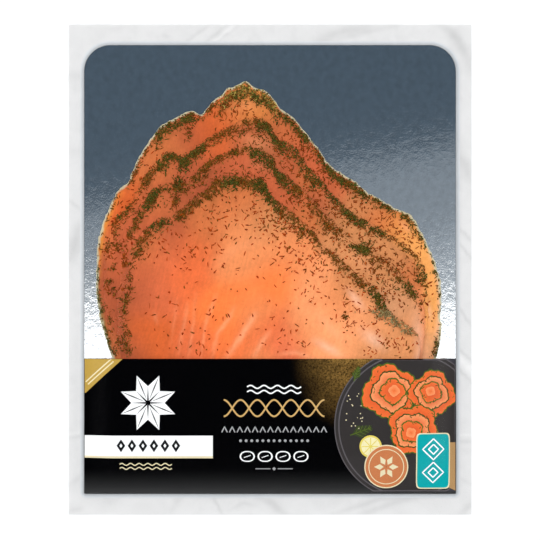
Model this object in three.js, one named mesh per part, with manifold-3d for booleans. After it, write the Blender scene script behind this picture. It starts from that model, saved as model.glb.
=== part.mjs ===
// Retail pack of gravlax: four thin slices of cured salmon, dill along their edges, overlap on a
// foil-faced card. The card's lower end folds up over the slices as a flap, and a clear vacuum pouch
// holds it all. The pack lies on its back. Millimetres, +X right, +Y towards the pack's top, +Z up;
// the origin is the centre of the pouch's underside.

import * as THREE from 'three';
import { mergeVertices } from 'three/addons/utils/BufferGeometryUtils.js';
import Module from 'manifold-3d';

// Pouch: a back sheet, and a welded margin that rises to the card's edge
const POUCH_WIDTH = 217;
const POUCH_LENGTH = 264;
const BACK_SHEET = 0.3;
const LIP_HEIGHT = 1.0;
const LIP_REACH = 3.5;
const LIP_GAP = 0.3;

// Card, folded once at its lower end. The flap rises over the pile: how far from the card's middle
// line and from its fold the rise is complete and where it ends
const CARD_WIDTH = 200;
const CARD_LENGTH = 241.5;
const CARD_CORNER = 14;
const CARD_THICKNESS = 0.6;
const CARD_FOLD_RADIUS = 0.6;
const CARD_GAP = 0.1;
const FLAP_LENGTH = 72.8;
const FLAP_SIDE = { complete: 83, ended: 99.5 };
const FLAP_FOOT = { complete: 26, ended: 1.5 };

// Slices, counted from the top one down. The edge profile is the share of the thickness that stands
// at the very edge, and the shares gained over the rounding and over the taper. The swell is the top
// face's waviness: its height, and its wavelengths across and along divided by 2 pi
const SLICE_COUNT = 4;
const SLICE_THICKNESS = 1.5;
const LAYER_GAP = 0.15;
const EDGE_ROUNDING = 0.8;
const EDGE_TAPER = 3;
const EDGE_PROFILE = { edge: 0.4, rounding: 0.35, taper: 0.25 };
const PILE_CENTRE = new THREE.Vector2(0, -26);
const TAIL_LENGTH = 66;
const TAIL_STEP = 2;
const SWELL = { height: 0.35, across: 15, along: 13, skewAcross: 0.4, skewAlong: 0.3, fade: 20 };

// Where the pile shows, as bearings clockwise from +Y, and how finely each stretch is divided
const SHOWN_BEARING = 105;
const SHOWN_STEP = 3;
const HIDDEN_STEP = 10;

// Dill: bits half sunk in the slices, in a band along each edge and loose on the top slice
const DILL_SEED = 11;
const BIT_LENGTH = [4.4, 7];
const BIT_WIDTH = [1.3, 2];
const BIT_HEIGHT = 1.1;
const BIT_STEP = 7.4;
const BAND_DEPTH = [0.9, 3];
const BIT_CLEARANCE = 0.4;
const BIT_TILT = 0.12;
const BIT_SWING = 0.7;
const LOOSE_BITS = 26;

// Levels that follow from the sizes above
const CARD_MIDDLE = BACK_SHEET + CARD_GAP + CARD_THICKNESS / 2;
const PILE_BASE = CARD_MIDDLE + CARD_THICKNESS / 2 + LAYER_GAP;
const LAYER_PITCH = SLICE_THICKNESS + LAYER_GAP;
const CARD_END = CARD_LENGTH / 2;
const FLAP_EDGE = FLAP_LENGTH - CARD_END;
const FOLD_START = CARD_FOLD_RADIUS + CARD_THICKNESS / 2 - CARD_END;
const BASE_LENGTH = CARD_END - FOLD_START;
const FLAP_START = CARD_MIDDLE + 2 * CARD_FOLD_RADIUS;
const PILE_TOP = PILE_BASE + SLICE_COUNT * LAYER_PITCH;
const FLAP_RISE = PILE_TOP + CARD_GAP + CARD_THICKNESS / 2 - FLAP_START;

// Edges of the slices where they show: bearing in degrees and reach in mm from the pile's centre
const EDGES = [
  [[-105, 80], [-88, 79.5], [-75, 80.5], [-62, 83.5], [-45, 79], [-33, 75.5], [-17, 79.5],
    [-6, 77], [3, 67], [18, 54.5], [36, 48], [52, 49], [68, 53.5], [82, 60.5], [92, 74],
    [98, 81], [105, 83]],
  [[-105, 83], [-90, 82], [-76, 83.5], [-60, 89], [-49, 93], [-41, 90], [-35, 83], [-29, 89],
    [-17, 92], [-5, 93], [3, 80], [14, 71], [28, 62.5], [45, 60.5], [60, 67.5], [73, 76],
    [85, 82.5], [105, 84]],
  [[-105, 85], [-88, 88], [-72, 94], [-56, 98], [-42, 100], [-34, 105.5], [-28, 97], [-20, 102],
    [-10, 107], [-2, 107.5], [6, 93], [16, 82], [34, 72], [50, 76], [66, 85], [77, 87.5],
    [92, 84.5], [105, 85]],
  [[-105, 87.5], [-84, 93.5], [-68, 101], [-54, 106], [-44, 106.5], [-36, 115], [-27, 119.5],
    [-19, 117], [-13, 121], [-6, 127], [2, 116], [9, 104], [20, 89.5], [32, 85.5], [44, 87],
    [57, 94.5], [70, 93], [84, 93.5], [105, 92]],
];

// A seeded source of draws between two limits (mulberry32)
function drawer(seed) {
  let state = seed;
  return (low, high) => {
    state = (state + 0x6d2b79f5) | 0;
    let mixed = Math.imul(state ^ (state >>> 15), 1 | state);
    mixed = (mixed + Math.imul(mixed ^ (mixed >>> 7), 61 | mixed)) ^ mixed;
    const unit = ((mixed ^ (mixed >>> 14)) >>> 0) / 4294967296;
    return low + (high - low) * unit;
  };
}

// Closed bodies

// A body made of loops of points from its top centre, round its edge, to its bottom centre
function bodyFromLoops(top, loops, bottom) {
  const count = loops[0].length;
  const points = [top, ...loops.flat(), bottom];
  const last = points.length - 1;
  const index = [];
  for (let i = 0; i < count; i += 1) {
    const next = (i + 1) % count;
    index.push(0, 1 + i, 1 + next);
    for (let ring = 0; ring < loops.length - 1; ring += 1) {
      const inner = 1 + ring * count;
      const outer = inner + count;
      index.push(inner + i, outer + i, outer + next);
      index.push(inner + i, outer + next, inner + next);
    }
    index.push(last, last - count + next, last - count + i);
  }
  return closedGeometry(points, index);
}

// A body made of two grids of points, a front and a back, joined round their border
function bodyFromSheets(front, back) {
  const rows = front.length;
  const columns = front[0].length;
  const at = (side, row, column) => side * rows * columns + row * columns + column;
  const index = [];
  const quad = (a, b, c, d) => index.push(a, b, c, a, c, d);
  for (let i = 0; i < rows - 1; i += 1) {
    for (let j = 0; j < columns - 1; j += 1) {
      quad(at(0, i, j), at(0, i + 1, j), at(0, i + 1, j + 1), at(0, i, j + 1));
      quad(at(1, i, j), at(1, i, j + 1), at(1, i + 1, j + 1), at(1, i + 1, j));
    }
    quad(at(0, i, 0), at(1, i, 0), at(1, i + 1, 0), at(0, i + 1, 0));
    const end = columns - 1;
    quad(at(0, i, end), at(0, i + 1, end), at(1, i + 1, end), at(1, i, end));
  }
  for (let j = 0; j < columns - 1; j += 1) {
    quad(at(0, 0, j), at(0, 0, j + 1), at(1, 0, j + 1), at(1, 0, j));
    const end = rows - 1;
    quad(at(0, end, j), at(1, end, j), at(1, end, j + 1), at(0, end, j + 1));
  }
  return closedGeometry([...front.flat(), ...back.flat()], index);
}

// A geometry of a closed body, with its faces turned outwards
function closedGeometry(points, index) {
  let volume = 0;
  for (let i = 0; i < index.length; i += 3) {
    const [a, b, c] = [points[index[i]], points[index[i + 1]], points[index[i + 2]]];
    volume += a.dot(new THREE.Vector3().crossVectors(b, c));
  }
  const geometry = new THREE.BufferGeometry().setFromPoints(points);
  geometry.setIndex(volume < 0 ? index.reverse() : index);
  geometry.computeVertexNormals();
  return geometry;
}

// Joining with manifold-3d

const wasm = await Module();
wasm.setup();

function toSolid(geometry) {
  const bare = geometry.clone();
  bare.deleteAttribute('normal');
  bare.deleteAttribute('uv');
  const merged = mergeVertices(bare, 1e-4);
  return new wasm.Manifold(new wasm.Mesh({
    numProp: 3,
    vertProperties: new Float32Array(merged.attributes.position.array),
    triVerts: new Uint32Array(merged.index.array),
  }));
}

function toGeometry(solid) {
  const mesh = solid.getMesh();
  const geometry = new THREE.BufferGeometry();
  geometry.setAttribute('position', new THREE.BufferAttribute(mesh.vertProperties, 3));
  geometry.setIndex(new THREE.BufferAttribute(mesh.triVerts, 1));
  geometry.computeVertexNormals();
  return geometry;
}

// Pouch

// A loop round the card's outline, moved out by a margin: round upper corners, tight lower ones
function cardLoop(margin, height) {
  const halfWidth = CARD_WIDTH / 2 + margin;
  const halfLength = CARD_END + margin;
  const upper = CARD_CORNER + margin;
  const lower = 1 + margin;
  const outline = new THREE.Path();
  outline.moveTo(halfWidth, lower - halfLength);
  outline.lineTo(halfWidth, halfLength - upper);
  outline.absarc(halfWidth - upper, halfLength - upper, upper, 0, Math.PI / 2);
  outline.absarc(upper - halfWidth, halfLength - upper, upper, Math.PI / 2, Math.PI);
  outline.absarc(lower - halfWidth, lower - halfLength, lower, Math.PI, 1.5 * Math.PI);
  outline.absarc(halfWidth - lower, lower - halfLength, lower, 1.5 * Math.PI, 2 * Math.PI);
  return outline.getPoints(6).slice(1).map((p) => new THREE.Vector3(p.x, p.y, height));
}

// The same loop pushed out to the pouch's rectangle
function pouchLoop(height) {
  const halfWidth = POUCH_WIDTH / 2;
  const halfLength = POUCH_LENGTH / 2;
  return cardLoop(LIP_REACH, height).map((p) => {
    const stretch = Math.min(halfWidth / Math.abs(p.x), halfLength / Math.abs(p.y));
    return new THREE.Vector3(p.x * stretch, p.y * stretch, height);
  });
}

function pouchGeometry() {
  const loops = [
    cardLoop(LIP_GAP, BACK_SHEET),
    cardLoop(LIP_GAP + 0.1, LIP_HEIGHT),
    cardLoop(LIP_REACH, BACK_SHEET),
    pouchLoop(BACK_SHEET),
    pouchLoop(0),
  ];
  return bodyFromLoops(new THREE.Vector3(0, 0, BACK_SHEET), loops, new THREE.Vector3(0, 0, 0));
}

// Card

// How far the flap has risen over the pile: full over the slices, none at its sides and its fold
function flapRise(x, y) {
  const side = 1 - THREE.MathUtils.smoothstep(Math.abs(x), FLAP_SIDE.complete, FLAP_SIDE.ended);
  const foot = THREE.MathUtils.smoothstep(y + CARD_END, FLAP_FOOT.ended, FLAP_FOOT.complete);
  return FLAP_RISE * side * foot;
}

// The card's middle surface: across is -1 to 1, along is the distance from its upper edge
function cardMiddle(across, along) {
  const foldLength = Math.PI * CARD_FOLD_RADIUS;
  let halfWidth = CARD_WIDTH / 2;
  if (along < CARD_CORNER) {
    halfWidth += Math.sqrt(CARD_CORNER ** 2 - (CARD_CORNER - along) ** 2) - CARD_CORNER;
  }
  const x = across * halfWidth;
  if (along <= BASE_LENGTH) {
    return new THREE.Vector3(x, CARD_END - along, CARD_MIDDLE);
  }
  if (along <= BASE_LENGTH + foldLength) {
    const turn = (along - BASE_LENGTH) / CARD_FOLD_RADIUS;
    const rise = CARD_FOLD_RADIUS * (1 - Math.cos(turn));
    return new THREE.Vector3(x, FOLD_START - CARD_FOLD_RADIUS * Math.sin(turn), CARD_MIDDLE + rise);
  }
  const y = FOLD_START + along - BASE_LENGTH - foldLength;
  return new THREE.Vector3(x, y, FLAP_START + flapRise(x, y));
}

function cardGeometry() {
  const foldLength = Math.PI * CARD_FOLD_RADIUS;
  const flapAt = BASE_LENGTH + foldLength;
  const cornerRows = [0, 0.1, 0.3, 0.6, 0.8, 1].map((part) => part * CARD_CORNER);
  const foldRows = [0, 0.25, 0.5, 0.75, 1].map((part) => BASE_LENGTH + part * foldLength);
  const footRows = [0, 1, 2, 3, 4, 5, 6].map((part) => (
    flapAt + THREE.MathUtils.lerp(FLAP_FOOT.ended, FLAP_FOOT.complete, part / 6)));
  const rows = [...cornerRows, ...foldRows, ...footRows, flapAt + FLAP_EDGE - FOLD_START];
  const sideColumns = [0, 1, 2, 3, 4, 5, 6].map((part) => (
    THREE.MathUtils.lerp(FLAP_SIDE.complete, FLAP_SIDE.ended, part / 6) / (CARD_WIDTH / 2)));
  const half = [0.3, ...sideColumns, 1];
  const columns = [...half.map((part) => -part).reverse(), ...half];
  const step = 1e-3;
  const sheet = (side) => rows.map((along) => columns.map((across) => {
    const point = cardMiddle(across, along);
    const acrossStep = cardMiddle(across + step, along).sub(cardMiddle(across - step, along));
    const before = cardMiddle(across, Math.max(along - step, 0));
    const alongStep = cardMiddle(across, along + step).sub(before);
    const normal = alongStep.cross(acrossStep).normalize();
    return point.addScaledVector(normal, side * CARD_THICKNESS / 2);
  }));
  return bodyFromSheets(sheet(1), sheet(-1));
}

// Slices

// The hidden lower end of a slice: the reach of a rounded rectangle as wide as the slice's sides
function tailReach(bearing, halfWidth, length) {
  const turn = THREE.MathUtils.degToRad(bearing);
  const across = Math.abs(Math.sin(turn)) / halfWidth;
  const along = Math.abs(Math.cos(turn)) / length;
  return (across ** 4 + along ** 4) ** -0.25;
}

// A slice's whole edge: the part that shows and the tail under the flap, in order of bearing
function wholeEdge(slice) {
  const shown = EDGES[slice];
  const length = TAIL_LENGTH + TAIL_STEP * slice;
  const sideOf = ([bearing, reach]) => reach * Math.abs(Math.sin(THREE.MathUtils.degToRad(bearing)));
  const left = sideOf(shown[0]);
  const right = sideOf(shown.at(-1));
  const tail = [118, 130, 145, 165, 195, 215, 230, 242].map((bearing) => (
    [bearing, tailReach(bearing, bearing < 180 ? right : left, length)]));
  return [...shown, ...tail];
}

// The reach of a slice's edge at a bearing: a cubic through the edge's points
function reachAt(slice, bearing) {
  const edge = wholeEdge(slice);
  const count = edge.length;
  const turned = ((bearing - edge[0][0]) % 360 + 360) % 360 + edge[0][0];
  const point = (i) => {
    const [at, reach] = edge[(i + count) % count];
    return [at + 360 * Math.floor(i / count), reach];
  };
  let i = 0;
  while (point(i + 1)[0] <= turned) {
    i += 1;
  }
  const slope = (k) => (point(k + 1)[1] - point(k - 1)[1]) / (point(k + 1)[0] - point(k - 1)[0]);
  const span = point(i + 1)[0] - point(i)[0];
  const t = (turned - point(i)[0]) / span;
  const smooth = t * t * (3 - 2 * t);
  return point(i)[1] * (1 - smooth) + point(i + 1)[1] * smooth
    + span * slope(i) * t * (1 - t) ** 2 - span * slope(i + 1) * t * t * (1 - t);
}

function fromBearing(bearing, reach) {
  const turn = THREE.MathUtils.degToRad(bearing);
  return new THREE.Vector2(Math.sin(turn), Math.cos(turn)).multiplyScalar(reach).add(PILE_CENTRE);
}

// The height between two slices, with a number of slices below it: a swell that grows with the pile
// and fades out towards the flap
function interfaceHeight(x, y, below) {
  const shown = THREE.MathUtils.smoothstep(y, FLAP_EDGE, FLAP_EDGE + SWELL.fade);
  const across = Math.sin((x + SWELL.skewAcross * y) / SWELL.across);
  const along = Math.cos((y - SWELL.skewAlong * x) / SWELL.along);
  const swell = SWELL.height * shown * (across + along) / SLICE_COUNT;
  return PILE_BASE + below * (LAYER_PITCH + swell);
}

// The height of a slice's top face, falling to its edge
function topHeight(slice, x, y, inset) {
  const below = SLICE_COUNT - 1 - slice;
  const floor = interfaceHeight(x, y, below);
  const full = interfaceHeight(x, y, below + 1) - LAYER_GAP - floor;
  const edge = THREE.MathUtils.clamp(inset / EDGE_ROUNDING, 0, 1);
  const taper = THREE.MathUtils.clamp(inset / EDGE_TAPER, 0, 1);
  const share = EDGE_PROFILE.edge + EDGE_PROFILE.rounding * edge + EDGE_PROFILE.taper * taper;
  return floor + full * share;
}

function bearings() {
  const list = [];
  for (let bearing = -SHOWN_BEARING; bearing < SHOWN_BEARING; bearing += SHOWN_STEP) {
    list.push(bearing);
  }
  for (let bearing = SHOWN_BEARING; bearing < 360 - SHOWN_BEARING; bearing += HIDDEN_STEP) {
    list.push(bearing);
  }
  return list;
}

function sliceGeometry(slice) {
  const rays = bearings();
  const above = (bearing) => (slice > 0 ? reachAt(slice - 1, bearing) : 0.8 * reachAt(0, bearing));
  const loop = (reach, height) => rays.map((bearing) => {
    const own = reachAt(slice, bearing);
    const at = fromBearing(bearing, reach(bearing, own));
    return new THREE.Vector3(at.x, at.y, height(at.x, at.y, own - reach(bearing, own)));
  });
  const top = (x, y, inset) => topHeight(slice, x, y, inset);
  const floor = (x, y) => interfaceHeight(x, y, SLICE_COUNT - 1 - slice);
  const loops = [
    loop((bearing) => 0.5 * above(bearing), top),
    loop((bearing, own) => Math.min(above(bearing), own - 1.2 * EDGE_ROUNDING), top),
    loop((bearing, own) => Math.max(own - EDGE_TAPER, (own + above(bearing)) / 2), top),
    loop((bearing, own) => own, top),
    loop((bearing, own) => own - EDGE_ROUNDING, floor),
    loop((bearing, own) => 0.5 * own, floor),
  ];
  const centre = new THREE.Vector3(PILE_CENTRE.x, PILE_CENTRE.y, 0);
  const topCentre = centre.clone().setZ(top(centre.x, centre.y, EDGE_TAPER));
  const bottomCentre = centre.clone().setZ(floor(centre.x, centre.y));
  return bodyFromLoops(topCentre, loops, bottomCentre);
}

// Dill

// One bit of dill: a flattened twenty-sided grain, turned on the slice's top and half sunk in it
function dillBit(slice, draw, bearing, inset, heading) {
  const own = reachAt(slice, bearing);
  const at = fromBearing(bearing, own - inset);
  const scale = new THREE.Vector3(
    draw(...BIT_LENGTH) / 2, draw(...BIT_WIDTH) / 2, BIT_HEIGHT / 2);
  const tilt = draw(-BIT_TILT, BIT_TILT);
  const turn = new THREE.Quaternion().setFromEuler(new THREE.Euler(0, tilt, heading));
  const place = new THREE.Vector3(at.x, at.y, topHeight(slice, at.x, at.y, inset));
  return new THREE.IcosahedronGeometry(1, 0)
    .applyMatrix4(new THREE.Matrix4().compose(place, turn, scale));
}

// A band of bits along a slice's edge, outside the slice above and short of the flap
function bandBits(slice, draw) {
  const bits = [];
  let bearing = -SHOWN_BEARING;
  while (bearing < SHOWN_BEARING) {
    const own = reachAt(slice, bearing);
    const above = slice > 0 ? reachAt(slice - 1, bearing) : 0;
    const room = own - above - BIT_CLEARANCE - draw(...BIT_WIDTH);
    const inset = Math.min(draw(...BAND_DEPTH), room);
    const ahead = fromBearing(bearing + 1, reachAt(slice, bearing + 1));
    const behind = fromBearing(bearing - 1, reachAt(slice, bearing - 1));
    const edgeHeading = ahead.sub(behind).angle();
    const swing = Math.min(BIT_SWING, room / 10);
    const heading = edgeHeading + draw(-swing, swing);
    if (inset > BAND_DEPTH[0] && fromBearing(bearing, own).y > FLAP_EDGE + BIT_LENGTH[1]) {
      bits.push(dillBit(slice, draw, bearing, inset, heading));
    }
    bearing += THREE.MathUtils.radToDeg(BIT_STEP * draw(0.7, 1.3) / own);
  }
  return bits;
}

// Loose bits on the top slice, spread over the part of it that shows
function looseBits(draw) {
  const bits = [];
  while (bits.length < LOOSE_BITS) {
    const bearing = draw(-SHOWN_BEARING, SHOWN_BEARING);
    const own = reachAt(0, bearing);
    const inset = own * (1 - Math.sqrt(draw(0.05, 0.85)));
    if (fromBearing(bearing, own - inset).y > FLAP_EDGE + BIT_LENGTH[1] && inset > 6) {
      bits.push(dillBit(0, draw, bearing, inset, draw(0, Math.PI)));
    }
  }
  return bits;
}

function dilledSlice(slice) {
  const draw = drawer(DILL_SEED + slice);
  const bits = bandBits(slice, draw);
  if (slice === 0) {
    bits.push(...looseBits(draw));
  }
  let solid = toSolid(sliceGeometry(slice));
  for (const bit of bits) {
    solid = solid.add(toSolid(bit));
  }
  return toGeometry(solid);
}

// The pack

function piece(name, geometry, finish) {
  const mesh = new THREE.Mesh(geometry, new THREE.MeshStandardMaterial(finish));
  mesh.name = name;
  return mesh;
}

const FILM_FINISH = { color: 0xe6e6e8, roughness: 0.2, transparent: true, opacity: 0.4 };
const FOIL_FINISH = { color: 0x9aa3ab, roughness: 0.3, metalness: 0.9 };
const SLICE_FINISHES = [0xe98350, 0xcb6a3c, 0xc4623a, 0xd67a40].map((color) => (
  { color, roughness: 0.35 }));

const pack = new THREE.Group();
pack.add(piece('pouch', pouchGeometry(), FILM_FINISH));
pack.add(piece('card', cardGeometry(), FOIL_FINISH));
for (let slice = 0; slice < SLICE_COUNT; slice += 1) {
  pack.add(piece(`slice_${slice + 1}`, dilledSlice(slice), SLICE_FINISHES[slice]));
}

export default pack;
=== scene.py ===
"""Looks of a retail pack of gravlax: four thin slices of dill-cured salmon on a foil-faced card, whose
lower end folds up over them as a printed flap, sealed in a clear vacuum pouch. The pack lies on its
back. Sizes and places are in millimetres in the CAD model's frame; meshes are written in metres.
"""

import logging
import math
from collections.abc import Callable, Sequence
from dataclasses import dataclass, field
from enum import Enum

import bpy
import numpy as np
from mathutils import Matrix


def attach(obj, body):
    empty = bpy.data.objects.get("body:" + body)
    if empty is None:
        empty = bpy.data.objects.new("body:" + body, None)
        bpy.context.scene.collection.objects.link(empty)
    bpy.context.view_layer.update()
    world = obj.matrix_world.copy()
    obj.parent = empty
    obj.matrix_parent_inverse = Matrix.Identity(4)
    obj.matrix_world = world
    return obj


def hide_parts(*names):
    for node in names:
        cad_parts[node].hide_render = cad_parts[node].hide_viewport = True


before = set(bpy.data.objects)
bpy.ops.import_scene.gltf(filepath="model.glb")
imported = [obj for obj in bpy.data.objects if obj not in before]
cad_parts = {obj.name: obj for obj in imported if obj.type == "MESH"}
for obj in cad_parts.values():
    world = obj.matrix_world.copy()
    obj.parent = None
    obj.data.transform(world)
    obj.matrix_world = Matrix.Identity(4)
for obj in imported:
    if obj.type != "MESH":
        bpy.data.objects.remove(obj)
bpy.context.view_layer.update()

Array = np.ndarray
log = logging.getLogger("pack")
METRES = 0.001
TONE = "tone"


# Colours and small sums

def linear(hex_colour: str) -> Array:
    """Turns an sRGB hex colour to linear light: a twelfth and a bit when dark, a power of 2.4 above.

    Args:
        hex_colour: such as "#f0a060".
    Returns:
        Red, green and blue from 0 to 1.
    """
    digits = hex_colour.lstrip("#")
    coded = np.array([int(digits[i:i + 2], 16) for i in (0, 2, 4)]) / 255
    return np.where(coded <= 0.04045, coded / 12.92, ((coded + 0.055) / 1.055) ** 2.4)


def rgba(hex_colour: str) -> tuple[float, float, float, float]:
    """The same colour as a socket takes it, with full alpha."""
    red, green, blue = linear(hex_colour)
    return (float(red), float(green), float(blue), 1.0)


def smoothstep(value: Array, low: float, high: float) -> Array:
    """A step from 0 at low to 1 at high that starts and ends level: 3 t squared less 2 t cubed."""
    part = np.clip((value - low) / (high - low), 0, 1)
    return part * part * (3 - 2 * part)


def ripples(x: Array, y: Array, size: float, seed: int) -> Array:
    """Uneven waviness: the mean of seven sine waves in drawn directions with drawn wavelengths.

    Args:
        x: places in mm.
        y: places in mm.
        size: the mean wavelength in mm.
        seed: picks the waves.
    Returns:
        Values round 0, mostly between -1 and 1.
    """
    draw = np.random.default_rng(seed)
    total = np.zeros(np.broadcast(x, y).shape)
    for _ in range(7):
        heading = draw.uniform(0, math.tau)
        pace = math.tau / (size * draw.uniform(0.6, 1.6))
        phase = draw.uniform(0, math.tau)
        total += np.sin(pace * (x * math.cos(heading) + y * math.sin(heading)) + phase)
    return total / 2.6


def cycles(size_mm: float) -> float:
    """The scale of a noise node whose features are so many mm across, on Object coordinates."""
    return 1 / (size_mm * METRES)


# Closed bodies

@dataclass
class Skin:
    """A mesh before Blender has it: points in mm, faces of four and of three corners, a linear colour
    for each point, and the number of the finish for each face, the quads first."""

    points: Array
    quads: Array
    tris: Array
    tone: Array | None = None
    finish: Array | None = None

    def outward(self) -> "Skin":
        """Turns the faces outwards, by the sign of the volume that they close: the sum over the
        triangles of the first corner's product with the cross product of the other two."""
        fans = np.concatenate([self.quads[:, [0, 1, 2]], self.quads[:, [0, 2, 3]], self.tris])
        a, b, c = (self.points[fans[:, i]] for i in range(3))
        if np.einsum("ij,ij->", a, np.cross(b, c)) < 0:
            self.quads = self.quads[:, ::-1]
            self.tris = self.tris[:, ::-1]
        return self


def grid_quads(rows: int, columns: int, first: int = 0) -> Array:
    """The quads of a grid of points that are stored row by row, from the point numbered first."""
    corner = first + np.arange(rows - 1)[:, None] * columns + np.arange(columns - 1)
    quads = np.stack([corner, corner + 1, corner + columns + 1, corner + columns], axis=-1)
    return quads.reshape(-1, 4)


def sheet_skin(front: Array, back: Array) -> Skin:
    """Closes a body from two grids of points by a wall round their border.

    Args:
        front: points of one face, rows by columns by 3.
        back: points of the other face, in the same order.
    Returns:
        The body, with the quads of the front first, then of the back, then of the wall.
    """
    rows, columns = front.shape[:2]
    count = rows * columns
    border = np.concatenate([
        np.arange(columns - 1),
        np.arange(rows - 1) * columns + columns - 1,
        (rows - 1) * columns + np.arange(columns - 1, 0, -1),
        np.arange(rows - 1, 0, -1) * columns,
    ])
    after = np.roll(border, -1)
    wall = np.stack([border, border + count, after + count, after], axis=-1)
    faces = [grid_quads(rows, columns), grid_quads(rows, columns, count)[:, ::-1], wall]
    points = np.concatenate([front.reshape(-1, 3), back.reshape(-1, 3)])
    return Skin(points, np.concatenate(faces), np.zeros((0, 3), int)).outward()


def loop_skin(top: Array, loops: Array, bottom: Array) -> Skin:
    """Closes a body from its top centre, through loops of points, to its bottom centre.

    Args:
        top: the point that the first loop closes on.
        loops: points, rings by count by 3.
        bottom: the point that the last loop closes on.
    Returns:
        The body, with its points in the order given.
    """
    rings, count = loops.shape[:2]
    index = 1 + np.arange(rings * count).reshape(rings, count)
    after = np.roll(index, -1, axis=1)
    quads = np.stack([index[:-1], index[1:], after[1:], after[:-1]], axis=-1).reshape(-1, 4)
    poles = np.zeros(count, int), np.full(count, rings * count + 1)
    tris = np.concatenate([
        np.stack([poles[0], index[0], after[0]], axis=-1),
        np.stack([poles[1], after[-1], index[-1]], axis=-1),
    ])
    points = np.concatenate([top[None], loops.reshape(-1, 3), bottom[None]])
    return Skin(points, quads, tris).outward()


def joined(skins: Sequence[Skin]) -> Skin:
    """Puts several bodies in one, each with its own colours and its faces as they are."""
    starts = np.cumsum([0] + [len(skin.points) for skin in skins[:-1]])
    return Skin(
        np.concatenate([skin.points for skin in skins]),
        np.concatenate([skin.quads + start for skin, start in zip(skins, starts)]),
        np.concatenate([skin.tris + start for skin, start in zip(skins, starts)]),
        np.concatenate([skin.tone for skin in skins]),
    )


def make_piece(name: str, skin: Skin, materials: Sequence[bpy.types.Material],
               crease: float = 50.0) -> bpy.types.Object:
    """Writes a body into a Blender mesh, in metres, and puts it in the scene.

    Args:
        name: the piece's name.
        skin: the body.
        materials: its materials, numbered as skin.finish numbers them.
        crease: the angle in degrees from which an edge is shaded sharp.
    Returns:
        The object, at the origin.
    """
    mesh = bpy.data.meshes.new(name)
    corners = np.concatenate([skin.quads.ravel(), skin.tris.ravel()])
    sizes = np.concatenate([np.full(len(skin.quads), 4), np.full(len(skin.tris), 3)])
    mesh.vertices.add(len(skin.points))
    mesh.vertices.foreach_set("co", (skin.points * METRES).astype(np.float32).ravel())
    mesh.loops.add(len(corners))
    mesh.loops.foreach_set("vertex_index", corners.astype(np.int32))
    mesh.polygons.add(len(sizes))
    mesh.polygons.foreach_set("loop_start", (np.cumsum(sizes) - sizes).astype(np.int32))
    mesh.polygons.foreach_set("use_smooth", np.ones(len(sizes), bool))
    for material in materials:
        mesh.materials.append(material)
    if skin.finish is not None:
        mesh.polygons.foreach_set("material_index", skin.finish.astype(np.int32))
    if skin.tone is not None:
        tone = mesh.attributes.new(TONE, "FLOAT_COLOR", "POINT")
        full = np.concatenate([skin.tone, np.ones((len(skin.tone), 1))], axis=1)
        tone.data.foreach_set("color", full.astype(np.float32).ravel())
    mesh.update(calc_edges=True)
    mesh.validate()
    mesh.set_sharp_from_angle(angle=math.radians(crease))
    piece = bpy.data.objects.new(name, mesh)
    bpy.context.scene.collection.objects.link(piece)
    triangles = 2 * len(skin.quads) + len(skin.tris)
    log.info("%s: %d triangles", name, triangles)
    return piece


def settle(piece: bpy.types.Object, slot: str, *nodes: str) -> bpy.types.Object:
    """Lets a piece ride on the pack and hides the CAD nodes that it stands for."""
    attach(piece, "root")
    if nodes:
        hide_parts(*nodes)
    return piece


# Materials

def add_node(tree: bpy.types.NodeTree, kind: str, inputs: dict | None = None,
             **settings: object) -> bpy.types.Node:
    """Adds a node to a tree.

    Args:
        tree: the node tree.
        kind: the node's type, such as "ShaderNodeMix".
        inputs: a value or an output to link, for each input by name or number.
        settings: the node's own properties.
    Returns:
        The node.
    """
    node = tree.nodes.new(kind)
    for name, value in settings.items():
        setattr(node, name, value)
    for key, value in (inputs or {}).items():
        if isinstance(value, bpy.types.NodeSocket):
            tree.links.new(value, node.inputs[key])
        else:
            node.inputs[key].default_value = value
    return node


def new_material(name: str) -> tuple[bpy.types.Material, bpy.types.NodeTree, bpy.types.NodeSocket]:
    """Starts a material.

    Args:
        name: the real material's name.
    Returns:
        The material, its emptied node tree, and the output for Object coordinates.
    """
    material = bpy.data.materials.new(name)
    material.use_nodes = True
    tree = material.node_tree
    tree.nodes.clear()
    place = add_node(tree, "ShaderNodeTexCoord").outputs["Object"]
    return material, tree, place


def end_material(tree: bpy.types.NodeTree, shader: bpy.types.NodeSocket) -> None:
    """Links a shader to the material's output."""
    add_node(tree, "ShaderNodeOutputMaterial", {"Surface": shader})


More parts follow.
